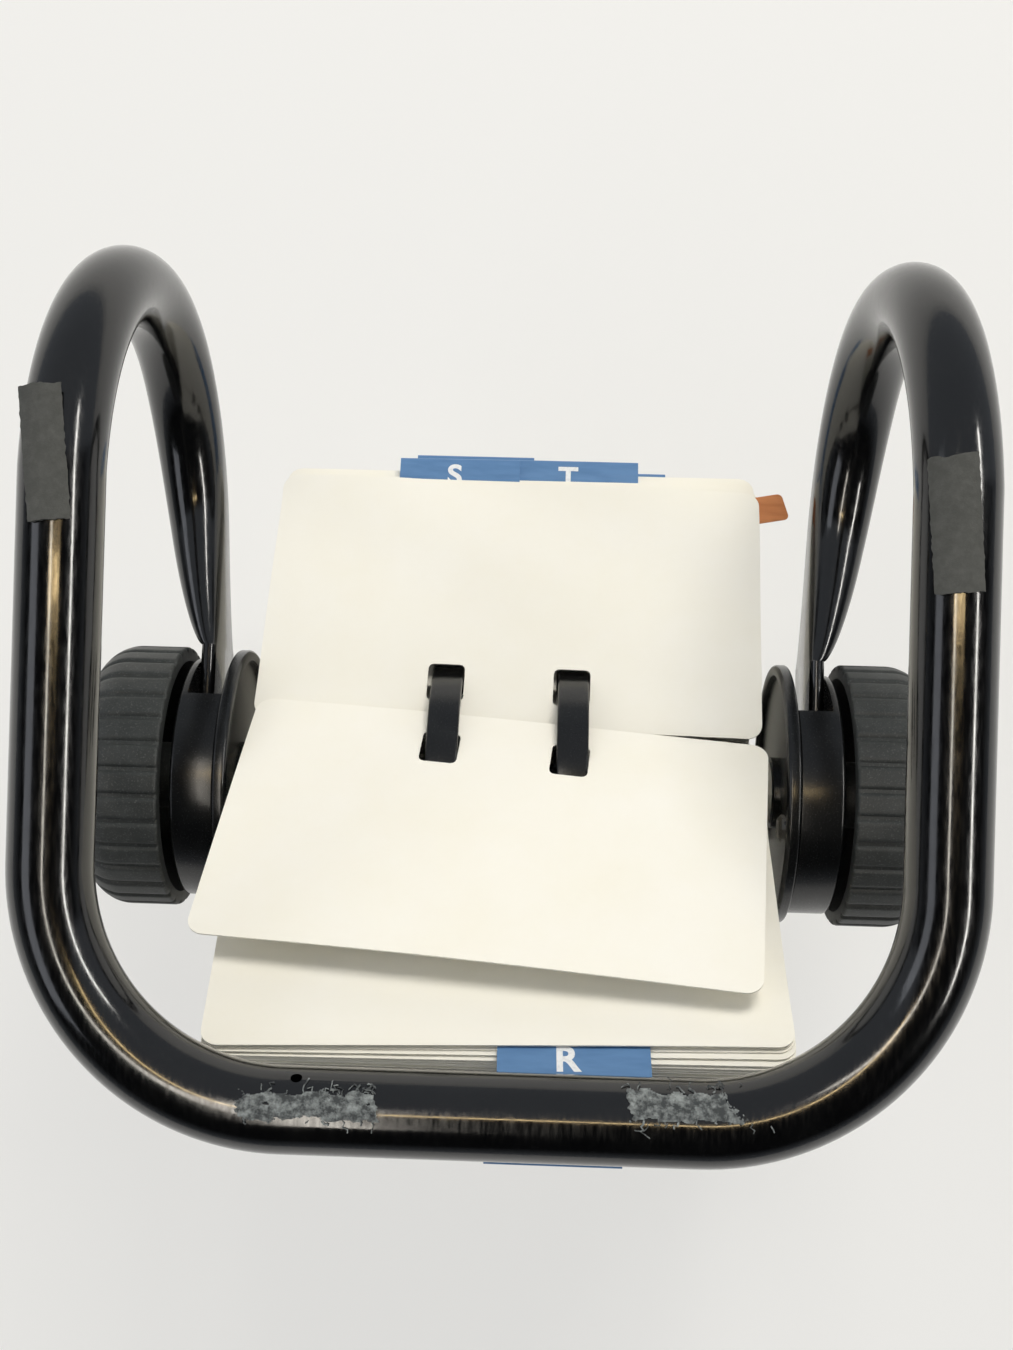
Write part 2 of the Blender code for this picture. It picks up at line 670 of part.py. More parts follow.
def make_flange(name, side):
    """The inboard cover of a bearing housing: a lipped disc with a thrust face in its middle."""
    boss = BUSH_BORE + FLANGE_BOSS_WALL
    recess = FLANGE_OUT + FLANGE_RECESS
    lip = FLANGE_RADIUS - FLANGE_LIP
    rounding = FLANGE_LIP / 3
    profile = [
        (BUSH_BORE, FLANGE_OUT),
        (boss, FLANGE_OUT),
        (boss, recess),
        (lip, recess),
        (lip, FLANGE_OUT),
    ]
    profile += arc((FLANGE_RADIUS - rounding, FLANGE_OUT + rounding), rounding, -90, 0)
    profile += [(FLANGE_RADIUS, FLANGE_BACK), (BUSH_BORE, FLANGE_BACK)]
    flange = revolve(name, profile, BLACK_PLASTIC, side, HUB)
    hole_radius = SCREW_SHANK_DIAMETER / 2 + CLEARANCE
    for centre in screw_places():
        hole = axial_cutter(
            "flange_hole", hole_radius, FLANGE_OUT - CUT_OVERRUN, FLANGE_BACK + CUT_OVERRUN, side,
            centre,
        )
        combine(flange, hole)
    return flange


def make_screws(side, side_name):
    """Slotted screws that clamp the flange to the collar."""
    head_base = FLANGE_OUT + FLANGE_RECESS - CLEARANCE
    head_top = head_base - SCREW_HEAD_HEIGHT
    head = SCREW_HEAD_DIAMETER / 2
    shank = SCREW_SHANK_DIAMETER / 2
    shank_end = head_base + SCREW_SHANK_LENGTH
    profile = [
        (0, head_top),
        (head - SCREW_SLOT_DEPTH, head_top),
        (head, head_top + SCREW_SLOT_DEPTH),
        (head, head_base),
        (shank, head_base),
        (shank, shank_end),
        (0, shank_end),
    ]
    for number, centre in enumerate(screw_places(), 1):
        name = f"{side_name}_housing_screw_{number}"
        origin = Vector((0, *centre))
        screw = revolve(name, profile, BRIGHT_STEEL, side, origin, steps=HOLE_STEPS)
        mesh = bpy.data.meshes.new("screw_slot")
        shape = bmesh.new()
        bmesh.ops.create_cube(shape, size=1)
        size = Matrix.Diagonal((2 * SCREW_SLOT_DEPTH, SCREW_HEAD_DIAMETER, SCREW_SLOT_WIDTH, 1))
        bmesh.ops.transform(shape, matrix=size, verts=shape.verts)
        shape.to_mesh(mesh)
        shape.free()
        slot = add_object("screw_slot_cutter", mesh)
        slot.location = origin + Vector((side * head_top, 0, 0))
        combine(screw, slot)


def make_bush(name, side):
    """The nylon bush in the collar's boss, in which the axle turns."""
    profile = [
        (BUSH_BORE, COLLAR_OPEN_END),
        (BUSH_RADIUS, COLLAR_OPEN_END),
        (BUSH_RADIUS, COLLAR_END),
        (BUSH_BORE, COLLAR_END),
    ]
    revolve(name, profile, NYLON, side, HUB, steps=SMALL_REVOLVE_STEPS)


def make_thrust_washer(name, side):
    inner_face = THRUST_WASHER_OUT - THRUST_WASHER_THICKNESS
    rim = BUSH_BORE + THRUST_WASHER_RIM
    profile = [
        (BUSH_BORE, inner_face),
        (rim, inner_face),
        (rim, THRUST_WASHER_OUT),
        (BUSH_BORE, THRUST_WASHER_OUT),
    ]
    revolve(name, profile, NYLON, side, HUB, steps=SMALL_REVOLVE_STEPS)


def make_axle(wheel):
    chamfer = CLEARANCE
    profile = [
        (0, AXLE_HALF_LENGTH),
        (AXLE_RADIUS - chamfer, AXLE_HALF_LENGTH),
        (AXLE_RADIUS, AXLE_HALF_LENGTH - chamfer),
        (AXLE_RADIUS, chamfer - AXLE_HALF_LENGTH),
        (AXLE_RADIUS - chamfer, -AXLE_HALF_LENGTH),
        (0, -AXLE_HALF_LENGTH),
    ]
    axle = revolve("axle", profile, BRIGHT_STEEL, 1, (0, 0, 0), wheel, SMALL_REVOLVE_STEPS)
    combine(axle, pin_hole_cutter("axle_pin_hole", wheel))


def pin_hole_cutter(name, wheel):
    radius = DRIVE_PIN_DIAMETER / 2 + CLEARANCE
    mesh = cylinder_mesh(name, radius, 2 * (SLEEVE_RADIUS + CUT_OVERRUN), HOLE_STEPS)
    cutter = add_object(name, mesh)
    cutter.parent = wheel
    return cutter


def make_sleeve(wheel):
    """The tube that carries the two rims, pinned to the axle in its middle."""
    bore = AXLE_RADIUS + CLEARANCE
    profile = [
        (bore, SLEEVE_HALF_LENGTH),
        (SLEEVE_RADIUS, SLEEVE_HALF_LENGTH),
        (SLEEVE_RADIUS, -SLEEVE_HALF_LENGTH),
        (bore, -SLEEVE_HALF_LENGTH),
    ]
    sleeve = revolve("wheel_sleeve", profile, BLACK_PLASTIC, 1, (0, 0, 0), wheel, SMALL_REVOLVE_STEPS)
    combine(sleeve, pin_hole_cutter("sleeve_pin_hole", wheel))


def make_drive_pin(wheel):
    mesh = cylinder_mesh("drive_pin", DRIVE_PIN_DIAMETER / 2, 2 * SLEEVE_RADIUS, HOLE_STEPS)
    smooth(mesh)
    add_object("drive_pin", mesh, BRIGHT_STEEL, wheel)


def make_rim(name, side, wheel):
    """A wheel of T section: the cards' windows ride on its band, their necks on its web."""
    middle = RIM_SPACING / 2
    half_band = RIM_BAND_WIDTH / 2
    half_web = RIM_WEB_THICKNESS / 2
    half_boss = RIM_BOSS_LENGTH / 2
    boss = RIM_BOSS_BORE + RIM_BOSS_WALL
    under_band = RIM_RADIUS - RIM_BAND_THICKNESS
    rounding = RIM_EDGE_ROUNDING
    profile = [(RIM_BOSS_BORE, middle - half_boss), (boss, middle - half_boss)]
    profile += [
        (boss, middle - half_web),
        (under_band, middle - half_web),
        (under_band, middle - half_band),
    ]
    profile += arc((RIM_RADIUS - rounding, middle - half_band + rounding), rounding, -90, 0, 1)
    profile += arc((RIM_RADIUS - rounding, middle + half_band - rounding), rounding, 0, 90, 1)
    profile += [
        (under_band, middle + half_band),
        (under_band, middle + half_web),
        (boss, middle + half_web),
        (boss, middle + half_boss),
        (RIM_BOSS_BORE, middle + half_boss),
    ]
    rim = revolve(name, profile, BLACK_PLASTIC, side, (0, 0, 0), wheel, RIM_STEPS)
    for index in range(RIM_HOLES):
        centre = polar(RIM_HOLE_CIRCLE_DIAMETER / 2, 360 * (index + 0.5) / RIM_HOLES)
        hole = axial_cutter(
            "rim_hole", RIM_HOLE_DIAMETER / 2, middle - half_boss, middle + half_boss, side, centre
        )
        hole.parent = wheel
        combine(rim, hole)


def make_wave_washer(name, side, wheel):
    """A spring washer between housing and knob, whose waves press and brake the wheel."""
    inner = BUSH_BORE
    outer = BUSH_BORE + WAVE_RIM
    shape = bmesh.new()
    rings = []
    for index in range(WAVE_STEPS):
        turn = 360 * index / WAVE_STEPS
        lift = WAVE_HEIGHT / 2 * (1 + math.cos(math.radians(turn * WAVES)))
        low = WAVE_OUT + lift
        ring = []
        for radius, out in (
            (inner, low),
            (outer, low),
            (outer, low + WAVE_THICKNESS),
            (inner, low + WAVE_THICKNESS),
        ):
            back, up = polar(radius, turn)
            ring.append(shape.verts.new((side * out, back, up)))
        rings.append(ring)
    bridge(shape, rings + rings[:1])
    bmesh.ops.recalc_face_normals(shape, faces=shape.faces)
    mesh = bpy.data.meshes.new(name)
    shape.to_mesh(mesh)
    shape.free()
    add_object(name, mesh, BRIGHT_STEEL, wheel)


def make_knob(name, side, wheel):
    """A cup-shaped hand knob with a ribbed rim, pushed on the end of the axle."""
    bore = AXLE_RADIUS + CLEARANCE
    hub = bore + KNOB_HUB_WALL
    inner = KNOB_RADIUS - KNOB_WALL
    floor = KNOB_END - KNOB_END_WALL
    rim = KNOB_RIM_ROUNDING
    crown = KNOB_ROUNDING
    inner_crown = crown - KNOB_END_WALL
    profile = [(0, KNOB_END - KNOB_DISH_DEPTH)]
    profile += reversed(arc((KNOB_RADIUS - crown, KNOB_END - crown), crown, 0, 90, CROWN_STEPS))
    profile += reversed(arc((KNOB_RADIUS - rim, KNOB_HUB_OUT + rim), rim, -90, 0, 1))
    profile += [(inner, KNOB_HUB_OUT)]
    profile += arc((inner - inner_crown, floor - inner_crown), inner_crown, 0, 90)
    profile += [
        (hub, floor),
        (hub, KNOB_HUB_OUT),
        (bore, KNOB_HUB_OUT),
        (bore, AXLE_HALF_LENGTH + CLEARANCE),
        (0, AXLE_HALF_LENGTH + CLEARANCE),
    ]
    knob = revolve(name, profile, CHARCOAL_PLASTIC, side, (0, 0, 0), wheel, KNOB_GROOVES)
    combine(knob, groove_cutter(side, wheel))


def groove_cutter(side, wheel):
    """All the grooves of one knob: rods that lie along its rim and end on its rounded edge."""
    shape = bmesh.new()
    start = KNOB_HUB_OUT - CUT_OVERRUN
    end = KNOB_END + CUT_OVERRUN
    ring_radius = KNOB_RADIUS + KNOB_GROOVE_RADIUS - KNOB_GROOVE_DEPTH
    for index in range(KNOB_GROOVES):
        back, up = polar(ring_radius, 360 * (index + 0.5) / KNOB_GROOVES)
        place = Matrix.Translation((side * (start + end) / 2, back, up))
        bmesh.ops.create_cone(
            shape,
            cap_ends=True,
            segments=GROOVE_SIDES,
            radius1=KNOB_GROOVE_RADIUS,
            radius2=KNOB_GROOVE_RADIUS,
            depth=end - start,
            matrix=place @ Matrix.Rotation(math.pi / 2, 4, "Y"),
        )
    mesh = bpy.data.meshes.new("knob_grooves")
    shape.to_mesh(mesh)
    shape.free()
    cutter = add_object("knob_groove_cutter", mesh)
    cutter.parent = wheel
    return cutter


def slot_points(middle):
    """A T-shaped notch in the inner edge of a card: a neck, then a window for the rim's band."""
    neck = NECK_WIDTH / 2
    window = WINDOW_WIDTH / 2
    return [
        (middle - neck, -CARD_TONGUE),
        (middle - neck, -WINDOW_BELOW_RIM),
        (middle - window, -WINDOW_BELOW_RIM),
        (middle - window, WINDOW_ABOVE_RIM),
        (middle + window, WINDOW_ABOVE_RIM),
        (middle + window, -WINDOW_BELOW_RIM),
        (middle + neck, -WINDOW_BELOW_RIM),
        (middle + neck, -CARD_TONGUE),
    ]


def card_points(tab_middle=None):
    """The outline of a card: across it, and along it from the rim outwards."""
    half = CARD_WIDTH / 2
    corner = CARD_CORNER_RADIUS
    points = arc((corner - half, corner - CARD_TONGUE), corner, 180, 270)
    points += slot_points(-RIM_SPACING / 2)
    points += slot_points(RIM_SPACING / 2)
    points += arc((half - corner, corner - CARD_TONGUE), corner, 270, 360)
    points += arc((half - corner, CARD_REACH - corner), corner, 0, 90)
    if tab_middle is not None:
        side = TAB_WIDTH / 2 - TAB_SIDE_MARGIN
        end = CARD_REACH + TAB_REACH - TAB_SLEEVE_WALL - CLEARANCE
        points += [
            (tab_middle + side, CARD_REACH),
            (tab_middle + side, end),
            (tab_middle - side, end),
            (tab_middle - side, CARD_REACH),
        ]
    points += arc((corner - half, CARD_REACH - corner), corner, 90, 180)
    return points


def make_tab(name, card, tab_middle):
    """The blue plastic sleeve folded over the tongue of a guide card."""
    inner = CARD_THICKNESS / 2 + CLEARANCE
    outer = inner + TAB_SLEEVE_WALL
    start = CARD_REACH + CLEARANCE
    end = CARD_REACH + TAB_REACH
    points = [
        (start, inner),
        (end - TAB_SLEEVE_WALL, inner),
        (end - TAB_SLEEVE_WALL, -inner),
        (start, -inner),
        (start, -outer),
        (end, -outer),
        (end, outer),
        (start, outer),
    ]
    tab = outline(name, points, TAB_WIDTH, BLUE_TAB, card)
    tab.rotation_euler = (math.pi / 2, 0, math.pi / 2)
    tab.location = (tab_middle, 0, 0)


def make_flag(card):
    """A coloured index flag stuck to the far side of the front card, standing past its edge."""
    half_width = FLAG_WIDTH / 2
    half_height = FLAG_HEIGHT / 2
    corner = FLAG_CORNER_RADIUS
    points = []
    for across, along, start in ((1, 1, 0), (-1, 1, 90), (-1, -1, 180), (1, -1, 270)):
        centre = (across * (half_width - corner), along * (half_height - corner))
        points += arc(centre, corner, start, start + 90)
    flag = outline("index_flag", points, FLAG_THICKNESS, ORANGE_TAB, card)
    behind = CARD_THICKNESS / 2 + CLEARANCE + FLAG_THICKNESS / 2
    across = CARD_WIDTH / 2 + FLAG_OVERHANG - half_width
    flag.location = (across, CARD_REACH - FLAG_BELOW_EDGE, -behind)
    flag.rotation_euler = (0, 0, math.radians(FLAG_TURN_DEG))


def make_cards(wheel):
    plain = None
    guide = 0
    for name, anchor, direction, roll, tab_share in fan():
        back, up = polar(RIM_MIDDLE_RADIUS, anchor)
        if tab_share is None and plain is not None:
            card = add_object(name, plain, CARD_STOCK, wheel)
        else:
            tab_middle = None if tab_share is None else tab_share * CARD_WIDTH
            card = outline(name, card_points(tab_middle), CARD_THICKNESS, CARD_STOCK, wheel)
            if tab_share is None:
                plain = card.data
        card.location = (0, back, up)
        turn = Matrix.Rotation(math.radians(direction), 4, "X")
        spin = Matrix.Rotation(math.radians(roll), 4, "Z")
        card.rotation_euler = (turn @ spin).to_euler()
        if tab_share is not None:
            guide += 1
            make_tab(f"guide_tab_{guide}", card, tab_middle)
        if name == "front_card":
            make_flag(card)


def main():
    make_frame_tube()
    make_pads()
    make_residue()
    wheel = add_object("wheel_axis", None, BLACK_PLASTIC)
    wheel.location = HUB
    make_axle(wheel)
    make_sleeve(wheel)
    make_drive_pin(wheel)
    for side, side_name in ((-1, "left"), (1, "right")):
        make_collar(f"{side_name}_collar", side)
        make_flange(f"{side_name}_flange", side)
        make_screws(side, side_name)
        make_bush(f"{side_name}_axle_bush", side)
        make_thrust_washer(f"{side_name}_thrust_washer", side)
        make_rim(f"{side_name}_card_rim", side, wheel)
        make_wave_washer(f"{side_name}_wave_washer", side, wheel)
        make_knob(f"{side_name}_knob", side, wheel)
    make_cards(wheel)


main()
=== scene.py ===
# %% [markdown]
# # A rotary card file, dressed for its picture
#
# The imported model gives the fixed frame: every body, node and joint is already in its place.
# This script builds the visible surfaces round it, in metres, with the wheel's axis along X,
# the front of the stand towards -Y and the desk at Z = 0. The photograph was taken from
# underneath, so the camera stands below the desk and looks up.

# %%
# Load the frame first, and note the size of the model before anything is added.
import json
import math
import random

import bmesh
import bpy
from mathutils import Matrix, Vector, geometry, noise

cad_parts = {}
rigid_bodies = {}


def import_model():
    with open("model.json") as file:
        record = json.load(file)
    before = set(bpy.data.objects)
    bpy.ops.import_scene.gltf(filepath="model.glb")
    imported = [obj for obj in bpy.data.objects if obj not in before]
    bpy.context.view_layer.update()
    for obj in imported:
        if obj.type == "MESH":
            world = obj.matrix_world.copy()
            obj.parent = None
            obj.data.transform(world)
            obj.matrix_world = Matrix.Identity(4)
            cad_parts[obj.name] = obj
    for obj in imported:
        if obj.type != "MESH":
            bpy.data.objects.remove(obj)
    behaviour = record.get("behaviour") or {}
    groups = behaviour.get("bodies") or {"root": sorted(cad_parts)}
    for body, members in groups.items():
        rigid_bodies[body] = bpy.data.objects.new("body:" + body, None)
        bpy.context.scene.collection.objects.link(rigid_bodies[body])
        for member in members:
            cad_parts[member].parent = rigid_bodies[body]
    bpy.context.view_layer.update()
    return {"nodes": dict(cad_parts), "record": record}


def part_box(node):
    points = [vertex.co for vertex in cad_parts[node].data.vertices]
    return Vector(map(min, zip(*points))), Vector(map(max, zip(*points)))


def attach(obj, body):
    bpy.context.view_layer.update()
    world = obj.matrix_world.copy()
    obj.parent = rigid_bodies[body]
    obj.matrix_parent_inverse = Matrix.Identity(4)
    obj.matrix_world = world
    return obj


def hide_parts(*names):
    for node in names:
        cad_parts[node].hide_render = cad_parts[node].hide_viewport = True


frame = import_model()


nodes = frame["nodes"]
print("frame:", len(nodes), "nodes")

# %% [markdown]
# ## Sizes
#
# These repeat the named sizes of the model, so that each new piece lies where its node lies.

# %%
# Everything is in metres. "Out" is the distance from the middle plane along X.
MM = 0.001
AXLE_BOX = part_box("axle")
HUB = Vector((0, (AXLE_BOX[0].y + AXLE_BOX[1].y) / 2, (AXLE_BOX[0].z + AXLE_BOX[1].z) / 2))
TUBE_RADIUS = 7.1 * MM
TUBE_CENTRE_HEIGHT = 8.3 * MM
CORNER_RADIUS = 39.0 * MM
LEG_OUT = 72.9 * MM
CROSSBAR_BEHIND_AXIS = 49.2 * MM
BEND_RADIUS = 38.5 * MM
BEND_AHEAD_OF_AXIS = 54.2 * MM
BLADE_THICKNESS = 3.0 * MM
BLADE_FLAT_LENGTH = 26.5 * MM
FLATTENING_LENGTH = 58.0 * MM
FLATTENING_POWER = 0.66
BLADE_OUT = 61.8 * MM
RIM_RADIUS = 24.0 * MM
RIM_MIDDLE_RADIUS = 23.4 * MM
RIM_SPACING = 25.4 * MM
FLANGE_OUT = 53.8 * MM
FLANGE_BACK = 56.4 * MM
FLANGE_RADIUS = 26.4 * MM
COLLAR_OPEN_END = 56.7 * MM
COLLAR_END = 65.2 * MM
COLLAR_RADIUS = 24.4 * MM
KNOB_RADIUS = 26.7 * MM
KNOB_HUB_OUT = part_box("right_knob")[0].x
KNOB_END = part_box("right_knob")[1].x
CARD_WIDTH = 101.6 * MM
CARD_REACH = 48.65 * MM
CARD_TONGUE = 8.5 * MM
print("wheel axis at", [round(v * 1000, 2) for v in HUB], "mm")

# %% [markdown]
# ## Materials
#
# Each finish is a small tree of procedural nodes: object coordinates in millimetres feed a
# noise whose scale is one over the size of a grain, and the noise varies colour, roughness
# and a fine bump. That gives a real surface its small unevenness without any picture.

# %%
# One function adds a node with its settings and its links, and one wires a node up.


def linear(hex_colour):
    """An sRGB colour such as '1A2B3C' as linear RGBA."""
    channels = []
    for start in (0, 2, 4):
        value = int(hex_colour[start : start + 2], 16) / 255
        channels.append(value / 12.92 if value <= 0.04045 else ((value + 0.055) / 1.055) ** 2.4)
    return (*channels, 1.0)


def wire(tree, node, inputs):
    """Gives each input a plain value, a socket, or the first output of another node."""
    for key, value in inputs.items():
        if isinstance(value, bpy.types.Node):
            value = value.outputs[0]
        if isinstance(value, bpy.types.NodeSocket):
            tree.links.new(value, node.inputs[key])
        else:
            node.inputs[key].default_value = value
    return node


def add(tree, kind, inputs=None, **settings):
    """Adds a node with its settings and links."""
    node = tree.nodes.new(kind)
    for key, value in settings.items():
        setattr(node, key, value)
    return wire(tree, node, inputs or {})


def new_material(name):
    """An empty material with a Principled shader; its coordinates are in millimetres."""
    material = bpy.data.materials.new(name)
    material.use_nodes = True
    tree = material.node_tree
    tree.nodes.clear()
    shader = add(tree, "ShaderNodeBsdfPrincipled")
    add(tree, "ShaderNodeOutputMaterial", {"Surface": shader})
    spot = add(tree, "ShaderNodeTexCoord").outputs["Object"]
    where = add(tree, "ShaderNodeMapping", {"Vector": spot, "Scale": (1000, 1000, 1000)})
    return material, tree, shader, where


def finish(material, shader, inputs):
    """Wires the shader and gives the material back."""
    wire(material.node_tree, shader, inputs)
    return material


NOISE = "ShaderNodeTexNoise"
RANGE = "ShaderNodeMapRange"
MIX = "ShaderNodeMix"
BUMP = "ShaderNodeBump"
print("white as linear light:", linear("FFFFFF"))

# %%
# Black enamel, sprayed and baked on the steel tube: deep gloss over a faint orange peel, with
# a little dust and fine scratches along Y that spread the highlights.


def make_enamel():
    material, tree, shader, where = new_material("black_enamel")
    drawn = add(tree, "ShaderNodeMapping", {"Vector": where, "Scale": (1, 0.15, 1)})
    dust = add(tree, NOISE, {"Vector": where, "Scale": 1 / 9, "Detail": 6, "Roughness": 0.7})
    fine = add(tree, NOISE, {"Vector": drawn, "Scale": 1 / 0.5, "Detail": 2})
    peel = add(tree, NOISE, {"Vector": where, "Scale": 1 / 1.6, "Detail": 2})
    share = add(tree, RANGE, {0: dust, 1: 0.45, 2: 0.8})
    colours = {0: share, 6: linear("050506"), 7: linear("0E0E0E")}
    return finish(
        material, shader,
        {
            "Base Color": add(tree, MIX, colours, data_type="RGBA").outputs[2],
            "Roughness": add(tree, RANGE, {0: fine, 1: 0.3, 2: 0.8, 3: 0.10, 4: 0.26}),
            "Normal": add(tree, BUMP, {"Height": peel, "Strength": 0.10, "Distance": 0.12 * MM}),
            "IOR": 1.52, "Coat Weight": 0.3, "Coat Roughness": 0.06,
        },
    )


# %%
# Moulded black ABS of the housings, rims and sleeve: satin, with a fine spark texture.


def make_black_plastic():
    material, tree, shader, where = new_material("moulded_black_plastic")
    wear = add(tree, NOISE, {"Vector": where, "Scale": 1 / 6, "Detail": 5, "Roughness": 0.65})
    grain = add(tree, NOISE, {"Vector": where, "Scale": 1 / 0.25, "Detail": 2})
    share = add(tree, RANGE, {0: wear, 1: 0.5, 2: 0.85})
    colours = {0: share, 6: linear("0C0D0E"), 7: linear("1A1B1B")}
    return finish(
        material, shader,
        {
            "Base Color": add(tree, MIX, colours, data_type="RGBA").outputs[2],
            "Roughness": add(tree, RANGE, {0: grain, 1: 0.2, 2: 0.8, 3: 0.18, 4: 0.3}),
            "Normal": add(tree, BUMP, {"Height": grain, "Strength": 0.08, "Distance": 0.03 * MM}),
        },
    )


# %%
# Charcoal plastic of the knobs: moulded with a coarser spark texture, so it looks duller.


def make_charcoal():
    material, tree, shader, where = new_material("charcoal_textured_plastic")
    grain = add(tree, NOISE, {"Vector": where, "Scale": 1 / 0.35, "Detail": 3, "Roughness": 0.6})
    dust = add(tree, NOISE, {"Vector": where, "Scale": 1 / 5, "Detail": 5, "Roughness": 0.7})
    share = add(tree, RANGE, {0: dust, 1: 0.45, 2: 0.8})
    colours = {0: share, 6: linear("313433"), 7: linear("3F4241")}
    base = add(tree, MIX, colours, data_type="RGBA").outputs[2]
    specks = add(tree, RANGE, {0: grain, 1: 0.55, 2: 0.75})
    speckled = {0: specks, 6: base, 7: linear("5A5D5B")}
    return finish(
        material, shader,
        {
            "Base Color": add(tree, MIX, speckled, data_type="RGBA").outputs[2],
            "Roughness": add(tree, RANGE, {0: grain, 1: 0.2, 2: 0.8, 3: 0.45, 4: 0.65}),
            "Normal": add(tree, BUMP, {"Height": grain, "Strength": 0.5, "Distance": 0.08 * MM}),
        },
    )


# %%
# Ivory card stock: uncoated board, rolled, so it is matt with long paper fibres.


def make_card_stock():
    material, tree, shader, where = new_material("ivory_card_stock")
    rolled = add(tree, "ShaderNodeMapping", {"Vector": where, "Scale": (0.4, 1, 1)})
    mottle = add(tree, NOISE, {"Vector": where, "Scale": 1 / 22, "Detail": 4, "Roughness": 0.6})
    fibre = add(tree, NOISE, {"Vector": rolled, "Scale": 1 / 0.5, "Detail": 3, "Roughness": 0.7})
    share = add(tree, RANGE, {0: mottle, 1: 0.3, 2: 0.75})
    colours = {0: share, 6: linear("FDFBF3"), 7: linear("FBF8EC")}
    base = add(tree, MIX, colours, data_type="RGBA").outputs[2]
    threads = add(tree, RANGE, {0: fibre, 1: 0.6, 2: 0.85, 3: 0, 4: 0.22})
    flecked = {0: threads, 6: base, 7: linear("F1EBDA")}
    return finish(
        material, shader,
        {
            "Base Color": add(tree, MIX, flecked, data_type="RGBA").outputs[2],
            "Roughness": add(tree, RANGE, {0: fibre, 1: 0.2, 2: 0.8, 3: 0.62, 4: 0.8}),
            "Normal": add(tree, BUMP, {"Height": fibre, "Strength": 0.15, "Distance": 0.05 * MM}),
            "Specular IOR Level": 0.35,
        },
    )


# %%
# Blue and orange vinyl of tabs and flag: extruded, so it has faint streaks along X.


def make_tab_plastic(name, base, deep):
    material, tree, shader, where = new_material(name)
    drawn = add(tree, "ShaderNodeMapping", {"Vector": where, "Scale": (0.2, 1, 1)})
    streak = add(tree, NOISE, {"Vector": drawn, "Scale": 1 / 1.4, "Detail": 3})
    share = add(tree, RANGE, {0: streak, 1: 0.35, 2: 0.75})
    colours = {0: share, 6: linear(base), 7: linear(deep)}
    return finish(
        material, shader,
        {
            "Base Color": add(tree, MIX, colours, data_type="RGBA").outputs[2],
            "Roughness": add(tree, RANGE, {0: streak, 1: 0.2, 2: 0.8, 3: 0.28, 4: 0.45}),
            "Normal": add(tree, BUMP, {"Height": streak, "Strength": 0.08, "Distance": 0.05 * MM}),
        },
    )


# %%
# Grey rubber of the pads: cut from sheet, matt and gritty, with a chalky bloom. Beside it the
# dried adhesive of torn foam tape: porous, dark grey with pale shreds.


def make_rubber():
    material, tree, shader, where = new_material("grey_rubber")
    bloom = add(tree, NOISE, {"Vector": where, "Scale": 1 / 2.2, "Detail": 6, "Roughness": 0.75})
    grit = add(tree, NOISE, {"Vector": where, "Scale": 1 / 0.3, "Detail": 3, "Roughness": 0.7})
    share = add(tree, RANGE, {0: bloom, 1: 0.4, 2: 0.75})
    colours = {0: share, 6: linear("4C4D4A"), 7: linear("5C5D5A")}
    return finish(
        material, shader,
        {
            "Base Color": add(tree, MIX, colours, data_type="RGBA").outputs[2],
            "Roughness": 0.85,
            "Normal": add(tree, BUMP, {"Height": grit, "Strength": 0.5, "Distance": 0.12 * MM}),
        },
    )


def make_adhesive():
    material, tree, shader, where = new_material("dried_adhesive")
    pores = add(tree, NOISE, {"Vector": where, "Scale": 1 / 1.5, "Detail": 5, "Roughness": 0.7})
    share = add(tree, RANGE, {0: pores, 1: 0.42, 2: 0.66})
    colours = {0: share, 6: linear("3C4042"), 7: linear("959B9B")}
    return finish(
        material, shader,
        {
            "Base Color": add(tree, MIX, colours, data_type="RGBA").outputs[2],
            "Roughness": 0.8,
            "Normal": add(tree, BUMP, {"Height": pores, "Strength": 0.6, "Distance": 0.2 * MM}),
        },
    )


# %%
# The small inner parts: drawn and turned steel, a metal with the default IOR, and natural
# nylon, moulded and milky. Last the white ink of the letters, screen printed and worn.


def make_steel():
    material, tree, shader, where = new_material("bright_steel")
    turned_lines = add(tree, "ShaderNodeMapping", {"Vector": where, "Scale": (6, 1, 1)})
    turning = add(tree, NOISE, {"Vector": turned_lines, "Scale": 1.0, "Detail": 3})
    share = add(tree, RANGE, {0: turning, 1: 0.3, 2: 0.8})
    colours = {0: share, 6: linear("C3C2BE"), 7: linear("A5A4A0")}
    return finish(
        material, shader,
        {
            "Base Color": add(tree, MIX, colours, data_type="RGBA").outputs[2],
            "Metallic": 1.0,
            "Roughness": add(tree, RANGE, {0: turning, 1: 0.2, 2: 0.8, 3: 0.22, 4: 0.4}),
        },
    )


def make_nylon():
    material, tree, shader, where = new_material("natural_nylon")
    cloud = add(tree, NOISE, {"Vector": where, "Scale": 1 / 2.5, "Detail": 3})
    share = add(tree, RANGE, {0: cloud, 1: 0.3, 2: 0.8})
    colours = {0: share, 6: linear("E4E0D2"), 7: linear("D3CDBA")}
    base = add(tree, MIX, colours, data_type="RGBA").outputs[2]
    values = {"Base Color": base, "Roughness": 0.42, "Subsurface Weight": 0.1}
    return finish(material, shader, values)


def make_print(name, tint):
    material, tree, shader, where = new_material(name)
    wear = add(tree, NOISE, {"Vector": where, "Scale": 1 / 0.6, "Detail": 3})
    share = add(tree, RANGE, {0: wear, 1: 0.5, 2: 0.9})
    colours = {0: share, 6: linear(tint), 7: linear("C9CDD2")}
    base = add(tree, MIX, colours, data_type="RGBA").outputs[2]
    return finish(material, shader, {"Base Color": base, "Roughness": 0.6})


